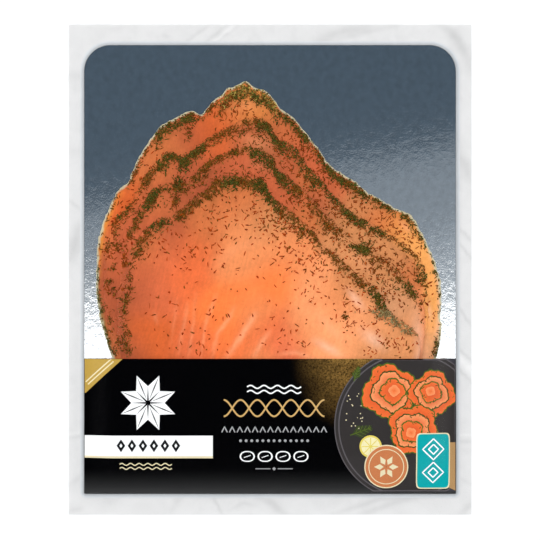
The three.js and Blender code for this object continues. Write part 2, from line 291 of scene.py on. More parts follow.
@dataclass(frozen=True)
class CuredSalmon:
    """Raw cured salmon under film: moist flesh with a soft gloss, fine fibres and pale fat."""

    roughness: tuple[float, float] = (0.34, 0.5)
    fleck_mm: float = 1.6
    cloud_mm: float = 7.0
    fibre_mm: tuple[float, float] = (1.3, 9.0)
    relief_mm: float = 0.03
    strength: tuple[float, float] = (0.9, 1.13)

    def material(self) -> bpy.types.Material:
        """Builds the material.

        Returns:
            Flesh whose colour is the piece's own, with clouds, fibres and flecks over it.
        """
        material, tree, place = new_material("cured salmon")
        tone = add_node(tree, "ShaderNodeAttribute", attribute_name=TONE).outputs["Color"]
        cloud = add_node(tree, "ShaderNodeTexNoise", {
            "Vector": place, "Scale": cycles(self.cloud_mm), "Detail": 3.0, "Roughness": 0.55})
        fleck = add_node(tree, "ShaderNodeTexNoise", {
            "Vector": place, "Scale": cycles(self.fleck_mm), "Detail": 2.0, "Roughness": 0.6})
        across, along = self.fibre_mm
        drawn = add_node(tree, "ShaderNodeMapping", {
            "Vector": place, "Rotation": (0, 0, math.radians(-14)),
            "Scale": (1.0, along / across, 1.0)}, vector_type="TEXTURE").outputs["Vector"]
        fibre = add_node(tree, "ShaderNodeTexNoise", {
            "Vector": drawn, "Scale": cycles(across), "Detail": 2.0, "Distortion": 0.3})
        mottle = add_node(tree, "ShaderNodeMath", {
            0: cloud.outputs["Fac"], 1: fleck.outputs["Fac"]}, operation="ADD")
        mottle = add_node(tree, "ShaderNodeMath", {
            0: mottle.outputs[0], 1: fibre.outputs["Fac"]}, operation="ADD")
        low, high = self.strength
        depth = add_node(tree, "ShaderNodeMapRange", {
            "Value": mottle.outputs[0], "From Min": 1.1, "From Max": 1.9,
            "To Min": low, "To Max": high})
        colour = add_node(tree, "ShaderNodeVectorMath", {
            0: tone, 1: depth.outputs[0]}, operation="MULTIPLY")
        rough = add_node(tree, "ShaderNodeMapRange", {
            "Value": cloud.outputs["Fac"], "From Min": 0.3, "From Max": 0.7,
            "To Min": self.roughness[0], "To Max": self.roughness[1]})
        relief = add_node(tree, "ShaderNodeBump", {
            "Height": mottle.outputs[0], "Strength": 0.6, "Distance": self.relief_mm * METRES})
        flesh = add_node(tree, "ShaderNodeBsdfPrincipled", {
            "Base Color": colour.outputs[0], "Roughness": rough.outputs[0],
            "Normal": relief.outputs[0], "IOR": 1.4, "Specular IOR Level": 0.17})
        end_material(tree, flesh.outputs[0])
        return material


@dataclass(frozen=True)
class ChoppedDill:
    """Chopped dill in brine: soft, wet green turning olive and brown, with fine veins."""

    roughness: float = 0.5
    vein_mm: float = 0.4

    def material(self) -> bpy.types.Material:
        """Builds the material.

        Returns:
            Herb whose colour is each frond's own, with darker and lighter veins.
        """
        material, tree, place = new_material("chopped dill")
        tone = add_node(tree, "ShaderNodeAttribute", attribute_name=TONE).outputs["Color"]
        vein = add_node(tree, "ShaderNodeTexNoise", {
            "Vector": place, "Scale": cycles(self.vein_mm), "Detail": 2.0})
        depth = add_node(tree, "ShaderNodeMapRange", {
            "Value": vein.outputs["Fac"], "From Min": 0.3, "From Max": 0.7,
            "To Min": 0.7, "To Max": 1.3})
        colour = add_node(tree, "ShaderNodeVectorMath", {
            0: tone, 1: depth.outputs[0]}, operation="MULTIPLY")
        relief = add_node(tree, "ShaderNodeBump", {
            "Height": vein.outputs["Fac"], "Strength": 0.4, "Distance": 0.05 * METRES})
        rough = add_node(tree, "ShaderNodeMapRange", {
            "Value": vein.outputs["Fac"], "To Min": self.roughness - 0.1,
            "To Max": self.roughness + 0.1})
        herb = add_node(tree, "ShaderNodeBsdfPrincipled", {
            "Base Color": colour.outputs[0], "Roughness": rough.outputs[0],
            "Normal": relief.outputs[0], "Specular IOR Level": 0.06})
        end_material(tree, herb.outputs[0])
        return material


@dataclass(frozen=True)
class FoilLaminate:
    """Aluminium foil laminated on board: a satin mirror with fine ripples that run across it."""

    colour: str = "#f4f6f8"
    roughness: float = 0.18
    ripple_mm: tuple[float, float] = (3.4, 4.2)
    grain_mm: float = 1.0
    relief_mm: float = 0.2

    def material(self) -> bpy.types.Material:
        """Builds the material.

        Returns:
            A metal with drawn ripples, a fine grain and small changes of gloss.
        """
        material, tree, place = new_material("aluminium foil laminate")
        along, across = self.ripple_mm
        drawn = add_node(tree, "ShaderNodeMapping", {
            "Vector": place, "Scale": (across / along, 1.0, 1.0)}).outputs["Vector"]
        ripple = add_node(tree, "ShaderNodeTexNoise", {
            "Vector": drawn, "Scale": cycles(across), "Detail": 3.0, "Roughness": 0.66})
        grain = add_node(tree, "ShaderNodeTexNoise", {
            "Vector": place, "Scale": cycles(self.grain_mm), "Detail": 1.0})
        height = add_node(tree, "ShaderNodeMath", {
            0: grain.outputs["Fac"], 1: 0.22, 2: ripple.outputs["Fac"]}, operation="MULTIPLY_ADD")
        relief = add_node(tree, "ShaderNodeBump", {
            "Height": height.outputs[0], "Strength": 1.0, "Distance": self.relief_mm * METRES})
        # Painted shade: the foil's colour follows the bump, darker in the hollows and brighter on the crests.
        shade = add_node(tree, "ShaderNodeMapRange", {
            "Value": height.outputs[0], "From Min": 0.4, "From Max": 0.75,
            "To Min": 0.9, "To Max": 1.03})
        colour = add_node(tree, "ShaderNodeVectorMath", {
            0: tuple(linear(self.colour)), 1: shade.outputs[0]}, operation="MULTIPLY")
        rough = add_node(tree, "ShaderNodeMapRange", {
            "Value": grain.outputs["Fac"], "To Min": self.roughness - 0.03,
            "To Max": self.roughness + 0.03})
        metal = add_node(tree, "ShaderNodeBsdfPrincipled", {
            "Base Color": colour.outputs[0], "Metallic": 1.0, "Roughness": rough.outputs[0],
            "Normal": relief.outputs[0]})
        end_material(tree, metal.outputs[0])
        return material


@dataclass(frozen=True)
class PrintedBoard:
    """Coated board printed solid black: a dull, even face, with gold dust printed in one place and a painted
    sheen that greys the black towards the fold.
    """

    colour: str = "#020203"
    gold: str = "#97733a"
    # The grey that a painted sheen turns the black to towards the fold, and the places along Y where that sheen
    # starts and where it is full.
    fade: str = "#393939"
    sheen_from: float = -106.0
    sheen_to: float = -120.5
    roughness: float = 0.6
    dust_mm: float = 0.8
    dust_place: tuple[float, float] = (43.0, -47.0)
    dust_reach: tuple[float, float] = (33.0, 41.0)

    def material(self) -> bpy.types.Material:
        """Builds the material.

        Returns:
            Black print with a fading cloud of gold specks, the board's faint grain, and a painted sheen that
            greys it towards the fold.
        """
        material, tree, place = new_material("coated board, printed black")
        x, y = self.dust_place
        reach_x, reach_y = self.dust_reach
        centred = add_node(tree, "ShaderNodeMapping", {
            "Vector": place, "Location": (-x / reach_x, -y / reach_y, 0),
            "Scale": (1000 / reach_x, 1000 / reach_y, 0)}).outputs["Vector"]
        away = add_node(tree, "ShaderNodeVectorMath", {0: centred}, operation="LENGTH")
        near = add_node(tree, "ShaderNodeMapRange", {
            "Value": away.outputs["Value"], "From Min": 0.0, "From Max": 1.0,
            "To Min": 1.0, "To Max": 0.0}, interpolation_type="SMOOTHSTEP")
        speck = add_node(tree, "ShaderNodeTexNoise", {
            "Vector": place, "Scale": cycles(self.dust_mm), "Detail": 2.0, "Roughness": 0.7})
        cloud = add_node(tree, "ShaderNodeTexNoise", {
            "Vector": place, "Scale": cycles(14), "Detail": 2.0})
        veil = add_node(tree, "ShaderNodeMath", {
            0: near.outputs[0], 1: cloud.outputs["Fac"]}, operation="MULTIPLY")
        veil = add_node(tree, "ShaderNodeMath", {0: veil.outputs[0], 1: 2.3}, operation="MULTIPLY")
        grit = add_node(tree, "ShaderNodeMapRange", {
            "Value": speck.outputs["Fac"], "From Min": 0.28, "From Max": 0.68})
        dust = add_node(tree, "ShaderNodeMath", {
            0: veil.outputs[0], 1: grit.outputs[0]}, operation="MULTIPLY", use_clamp=True)
        # Painted sheen: the black turns grey towards the fold, by the square of the distance along Y.
        along = add_node(tree, "ShaderNodeSeparateXYZ", {0: place}).outputs["Y"]
        painted_sheen = add_node(tree, "ShaderNodeMapRange", {
            "Value": along, "From Min": self.sheen_from * METRES, "From Max": self.sheen_to * METRES})
        painted_sheen = add_node(tree, "ShaderNodeMath", {0: painted_sheen.outputs[0], 1: 2.0}, operation="POWER")
        black = add_node(tree, "ShaderNodeMix", {
            0: painted_sheen.outputs[0], 6: rgba(self.colour), 7: rgba(self.fade)}, data_type="RGBA")
        colour = add_node(tree, "ShaderNodeMix", {
            0: dust.outputs[0], 6: black.outputs[2], 7: rgba(self.gold)}, data_type="RGBA")
        rough = add_node(tree, "ShaderNodeMapRange", {
            "Value": speck.outputs["Fac"], "To Min": self.roughness - 0.05,
            "To Max": self.roughness + 0.05})
        relief = add_node(tree, "ShaderNodeBump", {
            "Height": speck.outputs["Fac"], "Strength": 0.2, "Distance": 0.01 * METRES})
        board = add_node(tree, "ShaderNodeBsdfPrincipled", {
            "Base Color": colour.outputs[2], "Roughness": rough.outputs[0],
            "Normal": relief.outputs[0], "Specular IOR Level": 0.02})
        end_material(tree, board.outputs[0])
        return material


@dataclass(frozen=True)
class PrintingInk:
    """Ink on coated board: flat colours with a slight tooth."""

    roughness: float = 0.5
    tooth_mm: float = 0.5
    mottle: tuple[float, float] = (0.9, 1.06)

    def material(self) -> bpy.types.Material:
        """Builds the material.

        Returns:
            Ink whose colour is each shape's own, with a fine mottle.
        """
        material, tree, place = new_material("printing ink")
        tone = add_node(tree, "ShaderNodeAttribute", attribute_name=TONE).outputs["Color"]
        tooth = add_node(tree, "ShaderNodeTexNoise", {
            "Vector": place, "Scale": cycles(self.tooth_mm), "Detail": 3.0, "Roughness": 0.6})
        depth = add_node(tree, "ShaderNodeMapRange", {
            "Value": tooth.outputs["Fac"], "From Min": 0.3, "From Max": 0.7,
            "To Min": self.mottle[0], "To Max": self.mottle[1]})
        colour = add_node(tree, "ShaderNodeVectorMath", {
            0: tone, 1: depth.outputs[0]}, operation="MULTIPLY")
        rough = add_node(tree, "ShaderNodeMapRange", {
            "Value": tooth.outputs["Fac"], "To Min": self.roughness - 0.05,
            "To Max": self.roughness + 0.05})
        relief = add_node(tree, "ShaderNodeBump", {
            "Height": tooth.outputs["Fac"], "Strength": 0.2, "Distance": 0.01 * METRES})
        ink = add_node(tree, "ShaderNodeBsdfPrincipled", {
            "Base Color": colour.outputs[0], "Roughness": rough.outputs[0],
            "Normal": relief.outputs[0], "Specular IOR Level": 0.25})
        end_material(tree, ink.outputs[0])
        return material


@dataclass(frozen=True)
class ClearFilm:
    """Clear polyethylene film drawn tight: seen through, with a smooth gloss at a slant."""

    ior: float = 1.08
    roughness: float = 0.12
    pucker_mm: float = 9.0

    def material(self) -> bpy.types.Material:
        """Builds the material.

        Returns:
            A see-through sheet with a glossy reflection that grows with the slant.
        """
        material, tree, place = new_material("clear polyethylene film")
        pucker = add_node(tree, "ShaderNodeTexNoise", {
            "Vector": place, "Scale": cycles(self.pucker_mm), "Detail": 2.0})
        relief = add_node(tree, "ShaderNodeBump", {
            "Height": pucker.outputs["Fac"], "Strength": 0.5, "Distance": 0.1 * METRES})
        slant = add_node(tree, "ShaderNodeFresnel", {"IOR": self.ior, "Normal": relief.outputs[0]})
        inside = add_node(tree, "ShaderNodeNewGeometry").outputs["Backfacing"]
        mirrored = add_node(tree, "ShaderNodeMath", {
            0: slant.outputs[0], 1: inside}, operation="SUBTRACT", use_clamp=True)
        rough = add_node(tree, "ShaderNodeMapRange", {
            "Value": pucker.outputs["Fac"], "To Min": self.roughness - 0.03,
            "To Max": self.roughness + 0.03})
        clear = add_node(tree, "ShaderNodeBsdfTransparent")
        gloss = add_node(tree, "ShaderNodeBsdfAnisotropic", {
            "Roughness": rough.outputs[0], "Normal": relief.outputs[0]})
        film = add_node(tree, "ShaderNodeMixShader", {
            0: mirrored.outputs[0], 1: clear.outputs[0], 2: gloss.outputs[0]})
        end_material(tree, film.outputs[0])
        return material


@dataclass(frozen=True)
class WeldedFilm:
    """Two films welded in the pouch's margin: milky, half see-through, faintly mottled."""

    milk: float = 0.82
    mottle_mm: float = 8.0
    mottle: tuple[float, float] = (0.965, 1.02)
    roughness: float = 0.35

    def material(self) -> bpy.types.Material:
        """Builds the material.

        Returns:
            A milky sheet whose grey is the piece's own, with the painted shadow beside the card and
            the creases' painted shade and highlight, and a soft mottle.
        """
        material, tree, place = new_material("welded polyethylene film")
        tone = add_node(tree, "ShaderNodeAttribute", attribute_name=TONE).outputs["Color"]
        cloud = add_node(tree, "ShaderNodeTexNoise", {
            "Vector": place, "Scale": cycles(self.mottle_mm), "Detail": 3.0, "Distortion": 0.4})
        shade = add_node(tree, "ShaderNodeMapRange", {
            "Value": cloud.outputs["Fac"], "From Min": 0.3, "From Max": 0.6,
            "To Min": self.mottle[0], "To Max": self.mottle[1]})
        colour = add_node(tree, "ShaderNodeVectorMath", {
            0: tone, 1: shade.outputs[0]}, operation="MULTIPLY")
        relief = add_node(tree, "ShaderNodeBump", {
            "Height": cloud.outputs["Fac"], "Strength": 0.5, "Distance": 0.3 * METRES})
        rough = add_node(tree, "ShaderNodeMapRange", {
            "Value": cloud.outputs["Fac"], "To Min": self.roughness - 0.05,
            "To Max": self.roughness + 0.05})
        milky = add_node(tree, "ShaderNodeBsdfPrincipled", {
            "Base Color": colour.outputs[0], "Roughness": rough.outputs[0],
            "Normal": relief.outputs[0], "Specular IOR Level": 0.3, "Alpha": self.milk})
        end_material(tree, milky.outputs[0])
        return material


@dataclass(frozen=True)
class StudioFloor:
    """A matt white board under the pack."""

    colour: str = "#fafafa"

    def material(self) -> bpy.types.Material:
        """Builds the material.

        Returns:
            A matt white.
        """
        material, tree, place = new_material("matt white board")
        grain = add_node(tree, "ShaderNodeTexNoise", {"Vector": place, "Scale": cycles(40.0)})
        shade = add_node(tree, "ShaderNodeMapRange", {
            "Value": grain.outputs["Fac"], "To Min": 0.98, "To Max": 1.0})
        colour = add_node(tree, "ShaderNodeVectorMath", {
            0: tuple(linear(self.colour)), 1: shade.outputs[0]}, operation="MULTIPLY")
        board = add_node(tree, "ShaderNodeBsdfPrincipled", {
            "Base Color": colour.outputs[0], "Roughness": 0.9, "Specular IOR Level": 0.1})
        end_material(tree, board.outputs[0])
        return material


# Card

@dataclass(frozen=True)
class Card:
    """The foil-faced card: one sheet, folded once at its lower end, whose flap rises over the pile."""

    width: float = 200.0
    length: float = 241.5
    corner: float = 14.0
    thickness: float = 0.6
    fold_radius: float = 0.6
    flap_length: float = 72.8
    side: tuple[float, float] = (83.0, 99.5)
    foot: tuple[float, float] = (26.0, 1.5)
    middle_height: float = 0.7
    flap_rise: float = 6.25
    foil_depth: float = 0.02

    @property
    def end(self) -> float:
        """Half the card's length."""
        return self.length / 2

    @property
    def fold_start(self) -> float:
        """Where along Y the fold starts."""
        return self.fold_radius + self.thickness / 2 - self.end

    @property
    def base_length(self) -> float:
        """The length of the flat part, from the upper edge to the fold."""
        return self.end - self.fold_start

    @property
    def flap_at(self) -> float:
        """The distance along the sheet at which the flap starts."""
        return self.base_length + math.pi * self.fold_radius

    @property
    def flap_edge(self) -> float:
        """Where along Y the flap ends."""
        return self.flap_length - self.end

    def rise(self, x: Array, y: Array) -> Array:
        """How far the flap has risen: full over the pile, falling to none at its sides and foot."""
        side = 1 - smoothstep(np.abs(x), *self.side)
        return self.flap_rise * side * smoothstep(y + self.end, self.foot[1], self.foot[0])

    def middle(self, across: Array, along: Array) -> Array:
        """The sheet's middle surface: down the flat part, half a turn round the fold, up the flap.

        Args:
            across: from -1 at the left edge to 1 at the right one.
            along: the distance in mm from the upper edge.
        Returns:
            Points, with a last axis of 3.
        """
        inside = self.corner - np.clip(along, 0, self.corner)
        half = self.width / 2 + np.sqrt(self.corner ** 2 - inside ** 2) - self.corner
        turn = np.clip((along - self.base_length) / self.fold_radius, 0, math.pi)
        on_flap = np.maximum(along - self.flap_at, 0)
        x = across * half
        y = self.end - np.minimum(along, self.base_length) - self.fold_radius * np.sin(turn) + on_flap
        z = self.middle_height + self.fold_radius * (1 - np.cos(turn))
        z = z + np.where(along > self.flap_at, self.rise(x, y), 0)
        return np.stack([x, y, z], axis=-1)

    def face(self, across: Array, along: Array, depth: float) -> Array:
        """The middle surface moved along its normal, which is the cross product of its slopes.

        Args:
            across: from -1 at the left edge to 1 at the right one.
            along: the distance in mm from the upper edge.
            depth: how far to move it, towards the foil's side when positive.
        Returns:
            Points, with a last axis of 3.
        """
        step = 1e-3
        sideways = self.middle(across + step, along) - self.middle(across - step, along)
        onwards = self.middle(across, along + step)
        onwards = onwards - self.middle(across, np.maximum(along - step, 0))
        normal = np.cross(onwards, sideways)
        normal = normal / np.linalg.norm(normal, axis=-1, keepdims=True)
        return self.middle(across, along) + depth * normal

    def on_flap(self, x: Array, y: Array, lift: float) -> Array:
        """Points that lie on the flap's printed face, so far above it."""
        along = self.flap_at + y - self.fold_start
        return self.face(x / (self.width / 2), along, -self.thickness / 2 - lift)

    def grid(self) -> tuple[Array, Array]:
        """The sheet's grid: fine in the upper corners, round the fold and over the flap.

        Returns:
            across and along, both rows by columns.
        """
        corner = self.corner * (1 - np.cos(np.linspace(0, math.pi / 2, 15)))
        base = np.linspace(self.corner, self.base_length, 60)[1:]
        fold = np.linspace(self.base_length, self.flap_at, 13)[1:]
        flap_span = self.flap_edge - self.fold_start
        flap = self.flap_at + np.linspace(0, flap_span, 70)[1:]
        along = np.concatenate([corner, base, fold, flap])
        middle = self.side[0] / (self.width / 2)
        outer = np.linspace(middle, 1, 22)
        across = np.concatenate([-outer[::-1], np.linspace(-middle, middle, 60)[1:-1], outer])
        return np.broadcast_arrays(across[None, :], along[:, None])

    def build(self) -> list[bpy.types.Object]:
        """Builds the board and the foil on it.

        Returns:
            The two pieces.
        """
        across, along = self.grid()
        inner = self.thickness / 2
        board = sheet_skin(
            self.face(across, along, inner - 1.5 * self.foil_depth),
            self.face(across, along, -inner))
        foil = sheet_skin(
            self.face(across, along, inner), self.face(across, along, inner - self.foil_depth))
        pieces = [
            make_piece("card_board", board, [PrintedBoard().material()]),
            make_piece("card_foil", foil, [FoilLaminate().material()]),
        ]
        return [settle(piece, "foil_card", "card") for piece in pieces]


# Slices

class Flesh(Enum):
    """Tones of the salmon, from the deepest to the palest."""

    RUSSET = "#ae5535"
    CLAY = "#d2946a"
    BRICK = "#c4603b"
    FLAME = "#d4622f"
    COPPER = "#cb6f3f"
    OCHRE = "#dc8443"
    CORAL = "#dc6c43"
    ROSE = "#df6647"
    SALMON = "#e66d3c"
    ORANGE = "#fb7f40"
    TAWNY = "#cb8452"
    SAND = "#da8e5b"
    APRICOT = "#ea8c56"
    AMBER = "#f2a45a"
    PEACH = "#fba06a"
    BLUSH = "#ecab87"


class Fat(Enum):
    """Tones that lie over the flesh: fat between the muscles, the pale rim, part oil and part painted highlight
    of the film along the edge, and the dill's stain.
    """

    LINE = "#ffac7e"
    WHITE = "#f6c9ae"
    RIM = "#bcbb9c"
    GILT = "#dd9038"
    MOSS = "#8a7440"
    STAIN = "#7c4c20"


@dataclass(frozen=True)
class Stroke:
    """A soft pale mark on a slice: its path in mm, half its width and how strong it is. On the
    pouch's margin it paints a crease: shade where the strength is positive, highlight where it is
    negative, with its tone unused.
    """

    path: tuple[tuple[float, float], ...]
    reach: float
    strength: float
    tone: Fat = Fat.LINE

    def weight(self, x: Array, y: Array) -> Array:
        """How strong the mark is at each place: a bell over the distance from the wavering path, that
        fades towards the path's ends.

        Args:
            x: places in mm.
            y: places in mm.
        Returns:
            Weights from 0 to the stroke's strength.
        """
        nearest = np.full(x.shape, np.inf)
        share = np.zeros(x.shape)
        x = x + 0.3 * ripples(x, y, 5.0, 60)
        for leg, ((x0, y0), (x1, y1)) in enumerate(zip(self.path[:-1], self.path[1:])):
            dx, dy = x1 - x0, y1 - y0
            part = np.clip(((x - x0) * dx + (y - y0) * dy) / (dx * dx + dy * dy), 0, 1)
            away = np.hypot(x - x0 - part * dx, y - y0 - part * dy)
            share = np.where(away < nearest, leg + part, share)
            nearest = np.minimum(nearest, away)
        full = 0.3 + 0.7 * np.sin(math.pi * share / (len(self.path) - 1))
        return self.strength * full * np.exp(-(nearest / self.reach) ** 2)


class Herb(Enum):
    """Mixes of dill, as the colours that its fronds are drawn from."""

    GREEN = ("#564a14", "#5e501a", "#444614", "#6c5e28", "#4a5422", "#74501f", "#6a3e10", "#404e1e")
    OLIVE = ("#704612", "#7e4e18", "#584212", "#845822", "#783c0e", "#504a18", "#8e4a16", "#8e622c")
    YELLOW = ("#968038", "#b09a48", "#7e7034", "#68602a", "#c0a858", "#9f6f38")
    BROWN = ("#ae420c", "#a03808", "#b44c14", "#8e3006", "#9c3e0a", "#84400c", "#74480e")
    RUST = ("#984414", "#8c3c10", "#a04e1c", "#84400e", "#8e4c1c", "#7c4416")
    GREY = ("#84724a", "#98865a", "#76683c", "#a28a5e", "#8a683c", "#a8986a")


@dataclass(frozen=True)
class Band:
    """Dill along a slice's edge: between two bearings, so many fronds, so deep and so spread."""

    start: float
    stop: float
    count: int
    depth: float
    spread: float
    herb: Herb

    @property
    def stain(self) -> float:
        """How strongly the band stains the flesh, from its number of fronds for each degree."""
        return min(self.count / (self.stop - self.start) / 20, 1.0)


@dataclass(frozen=True)
class Clump:
    """Dill scattered round a path in mm: so many fronds, so far from it."""

    path: tuple[tuple[float, float], ...]
    spread: float
    count: int
    herb: Herb


@dataclass(frozen=True)
class SliceLook:
    """All that sets one slice apart: its edge, its tones by place, its marks and its dill."""

    edge: tuple[tuple[float, float], ...]
    tones: tuple[tuple[float, float, Flesh], ...]
    strokes: tuple[Stroke, ...]
    bands: tuple[Band, ...]
    clumps: tuple[Clump, ...]
    rim: float


R, G, B, F, C, D, K, H, S, O, T, N, A, M, P, L = Flesh

# Each slice's tones by place are the flesh's own colours and also paint shade and light: deeper towards the
# upper left of the pile and paler in its middle.
TOP_SLICE = SliceLook(
    edge=(
        (-105, 80), (-85, 79.5), (-78, 79.3), (-71.5, 81.3), (-63, 83.6), (-55, 82.3), (-46, 79.2),
        (-44, 75.6), (-37, 75.8), (-25.5, 77), (-23, 79.6), (-19, 79.8), (-15, 79.1), (-6, 76.3),
        (-2.5, 74.3), (1, 65.6), (4.5, 62), (18, 54.9), (29.5, 50.6), (36, 47.8), (52, 49.5),
        (67.5, 53.1), (71.5, 56.9), (76.5, 59.8), (85.5, 63.2), (89, 66.8), (94, 76.2), (96.5, 80.3),
        (101, 82.4), (105, 83)),
    tones=(
        (-16, 22, A), (-26, 35, C), (-11, 36, C), (-4, 26, T), (-35, 20, C), (-19, 4, A), (0, 11, A),
        (6, -6, O), (16, 4, A), (22, -8, P), (35, -16, A), (44, -8, T), (26, -26, P), (16, -35, A), (32, -41, P),
        (57, -41, N), (70, -44, N), (50, -26, P), (57, -23, N), (7, -41, H), (0, -34, S),
        (-4, -46, A), (-13, -41, S), (-23, -35, O), (-9, -24, A), (-15, -16, O), (-30, -22, O), (-35, -38, S), (-43, -43, K),
        (-45, -8, S), (-40, 8, S), (-57, 8, K), (-59, -16, K), (-59, -41, F), (-65, -33, F), (-73, -43, R),
        (-71, -16, R), (-70, 0, B), (-65, 13, C), (-53, 19, R)),
    strokes=(
        Stroke(((-50, -15.5), (-51, -23.5), (-53.4, -40)), 0.8, 0.16),
        Stroke(((-44.4, -17.5), (-45.3, -26), (-47, -33), (-49.2, -45.5)), 0.8, 0.28),
        Stroke(((-40, -13), (-41, -28), (-42.6, -40), (-43.7, -47)), 0.9, 0.28),
        Stroke(((-34, -24.5), (-35.2, -33), (-37.4, -48)), 0.8, 0.34),
        Stroke(((-28.6, -13), (-32, -22), (-34.3, -29.5)), 1.1, 0.3),
        Stroke(((-19, -20), (-22.5, -27), (-28.6, -35), (-31.3, -48)), 1.2, 0.42),
        Stroke(((-7.5, -24), (-11, -29), (-17.2, -38.5), (-25.4, -50.4)), 1.7, 0.6),
        Stroke(((-7.5, -22.7), (-11, -27.8)), 1.1, 0.3),
        Stroke(((0, -33), (-5, -40), (-9, -48)), 1.4, 0.5),
        Stroke(((-62, -22.4), (-60.4, -29.7)), 0.8, 0.2),
        Stroke(((5, -45.5), (14, -44.5), (24, -48)), 1.2, 0.4),
        Stroke(((24, -38), (38, -46)), 2.2, 0.4, Fat.WHITE),
        Stroke(((26, -24), (32, -31), (39, -38)), 2.4, 0.35),
        Stroke(((42, -11), (50, -21)), 2.2, 0.42, Fat.WHITE),
        Stroke(((50, -33), (61, -42)), 3.4, 0.45, Fat.WHITE),
        Stroke(((-30, 2), (-18, 12), (-4, 16)), 3.0, 0.15),
    ),
    bands=(
        Band(-104, -88, 118, 1.8, 1.2, Herb.OLIVE),
        Band(-88, -80, 60, 1.8, 0.8, Herb.OLIVE),
        Band(-80, -66, 70, 2.0, 1.2, Herb.OLIVE),
        Band(-66, -54, 190, 3.0, 1.8, Herb.OLIVE),
        Band(-53, -46, 140, 2.6, 1.6, Herb.GREEN),
        Band(-44, -28, 270, 2.4, 1.5, Herb.OLIVE),
        Band(-28, -20, 210, 3.4, 2.0, Herb.OLIVE),
        Band(-20, -13, 240, 3.6, 2.0, Herb.GREEN),
        Band(-13, -8, 150, 3.6, 2.0, Herb.OLIVE),
        Band(-8, 0, 350, 4.2, 2.4, Herb.GREEN),
        Band(0, 5, 130, 3.0, 1.9, Herb.GREEN),
        Band(5, 24, 270, 3.0, 2.3, Herb.OLIVE),
        Band(24, 42, 165, 1.8, 1.5, Herb.OLIVE),
        Band(42, 64, 160, 1.7, 1.2, Herb.OLIVE),
        Band(64, 73, 85, 2.4, 1.6, Herb.OLIVE),
        Band(73, 86, 235, 2.2, 1.3, Herb.GREEN),
        Band(86, 97, 290, 4.2, 2.6, Herb.GREY),
    ),
    clumps=(
        Clump(((-36, 30), (-10, 34), (4, 22)), 5.0, 60, Herb.BROWN),
        Clump(((-36, 30), (-10, 34), (4, 22)), 4.4, 40, Herb.OLIVE),
        Clump(((-2, 28), (6, 22), (14, 12)), 5.0, 92, Herb.BROWN),
        Clump(((-30, 20), (-10, 18), (8, 8), (24, -6)), 9.0, 98, Herb.BROWN),
        Clump(((12, 4), (28, -10), (44, -24)), 7.0, 60, Herb.BROWN),
        Clump(((40, -24), (56, -30), (64, -42)), 7.5, 70, Herb.BROWN),
        Clump(((18, 12), (44, -10)), 4.0, 60, Herb.BROWN),
        Clump(((-60, 14), (-48, 4), (-30, 6)), 9.0, 76, Herb.BROWN),
        Clump(((-62, -12), (-40, -20), (-20, -26)), 12.0, 60, Herb.BROWN),
        Clump(((-2, -34), (20, -34)), 8.0, 40, Herb.BROWN),
        Clump(((-60, -40), (-30, -42)), 6.0, 20, Herb.BROWN),
        Clump(((40.2, -25.5), (40.6, -25.9)), 0.3, 30, Herb.OLIVE),
        Clump(((60, -36), (76, -42)), 2.6, 32, Herb.BROWN),
    ),
    rim=0.0,
)

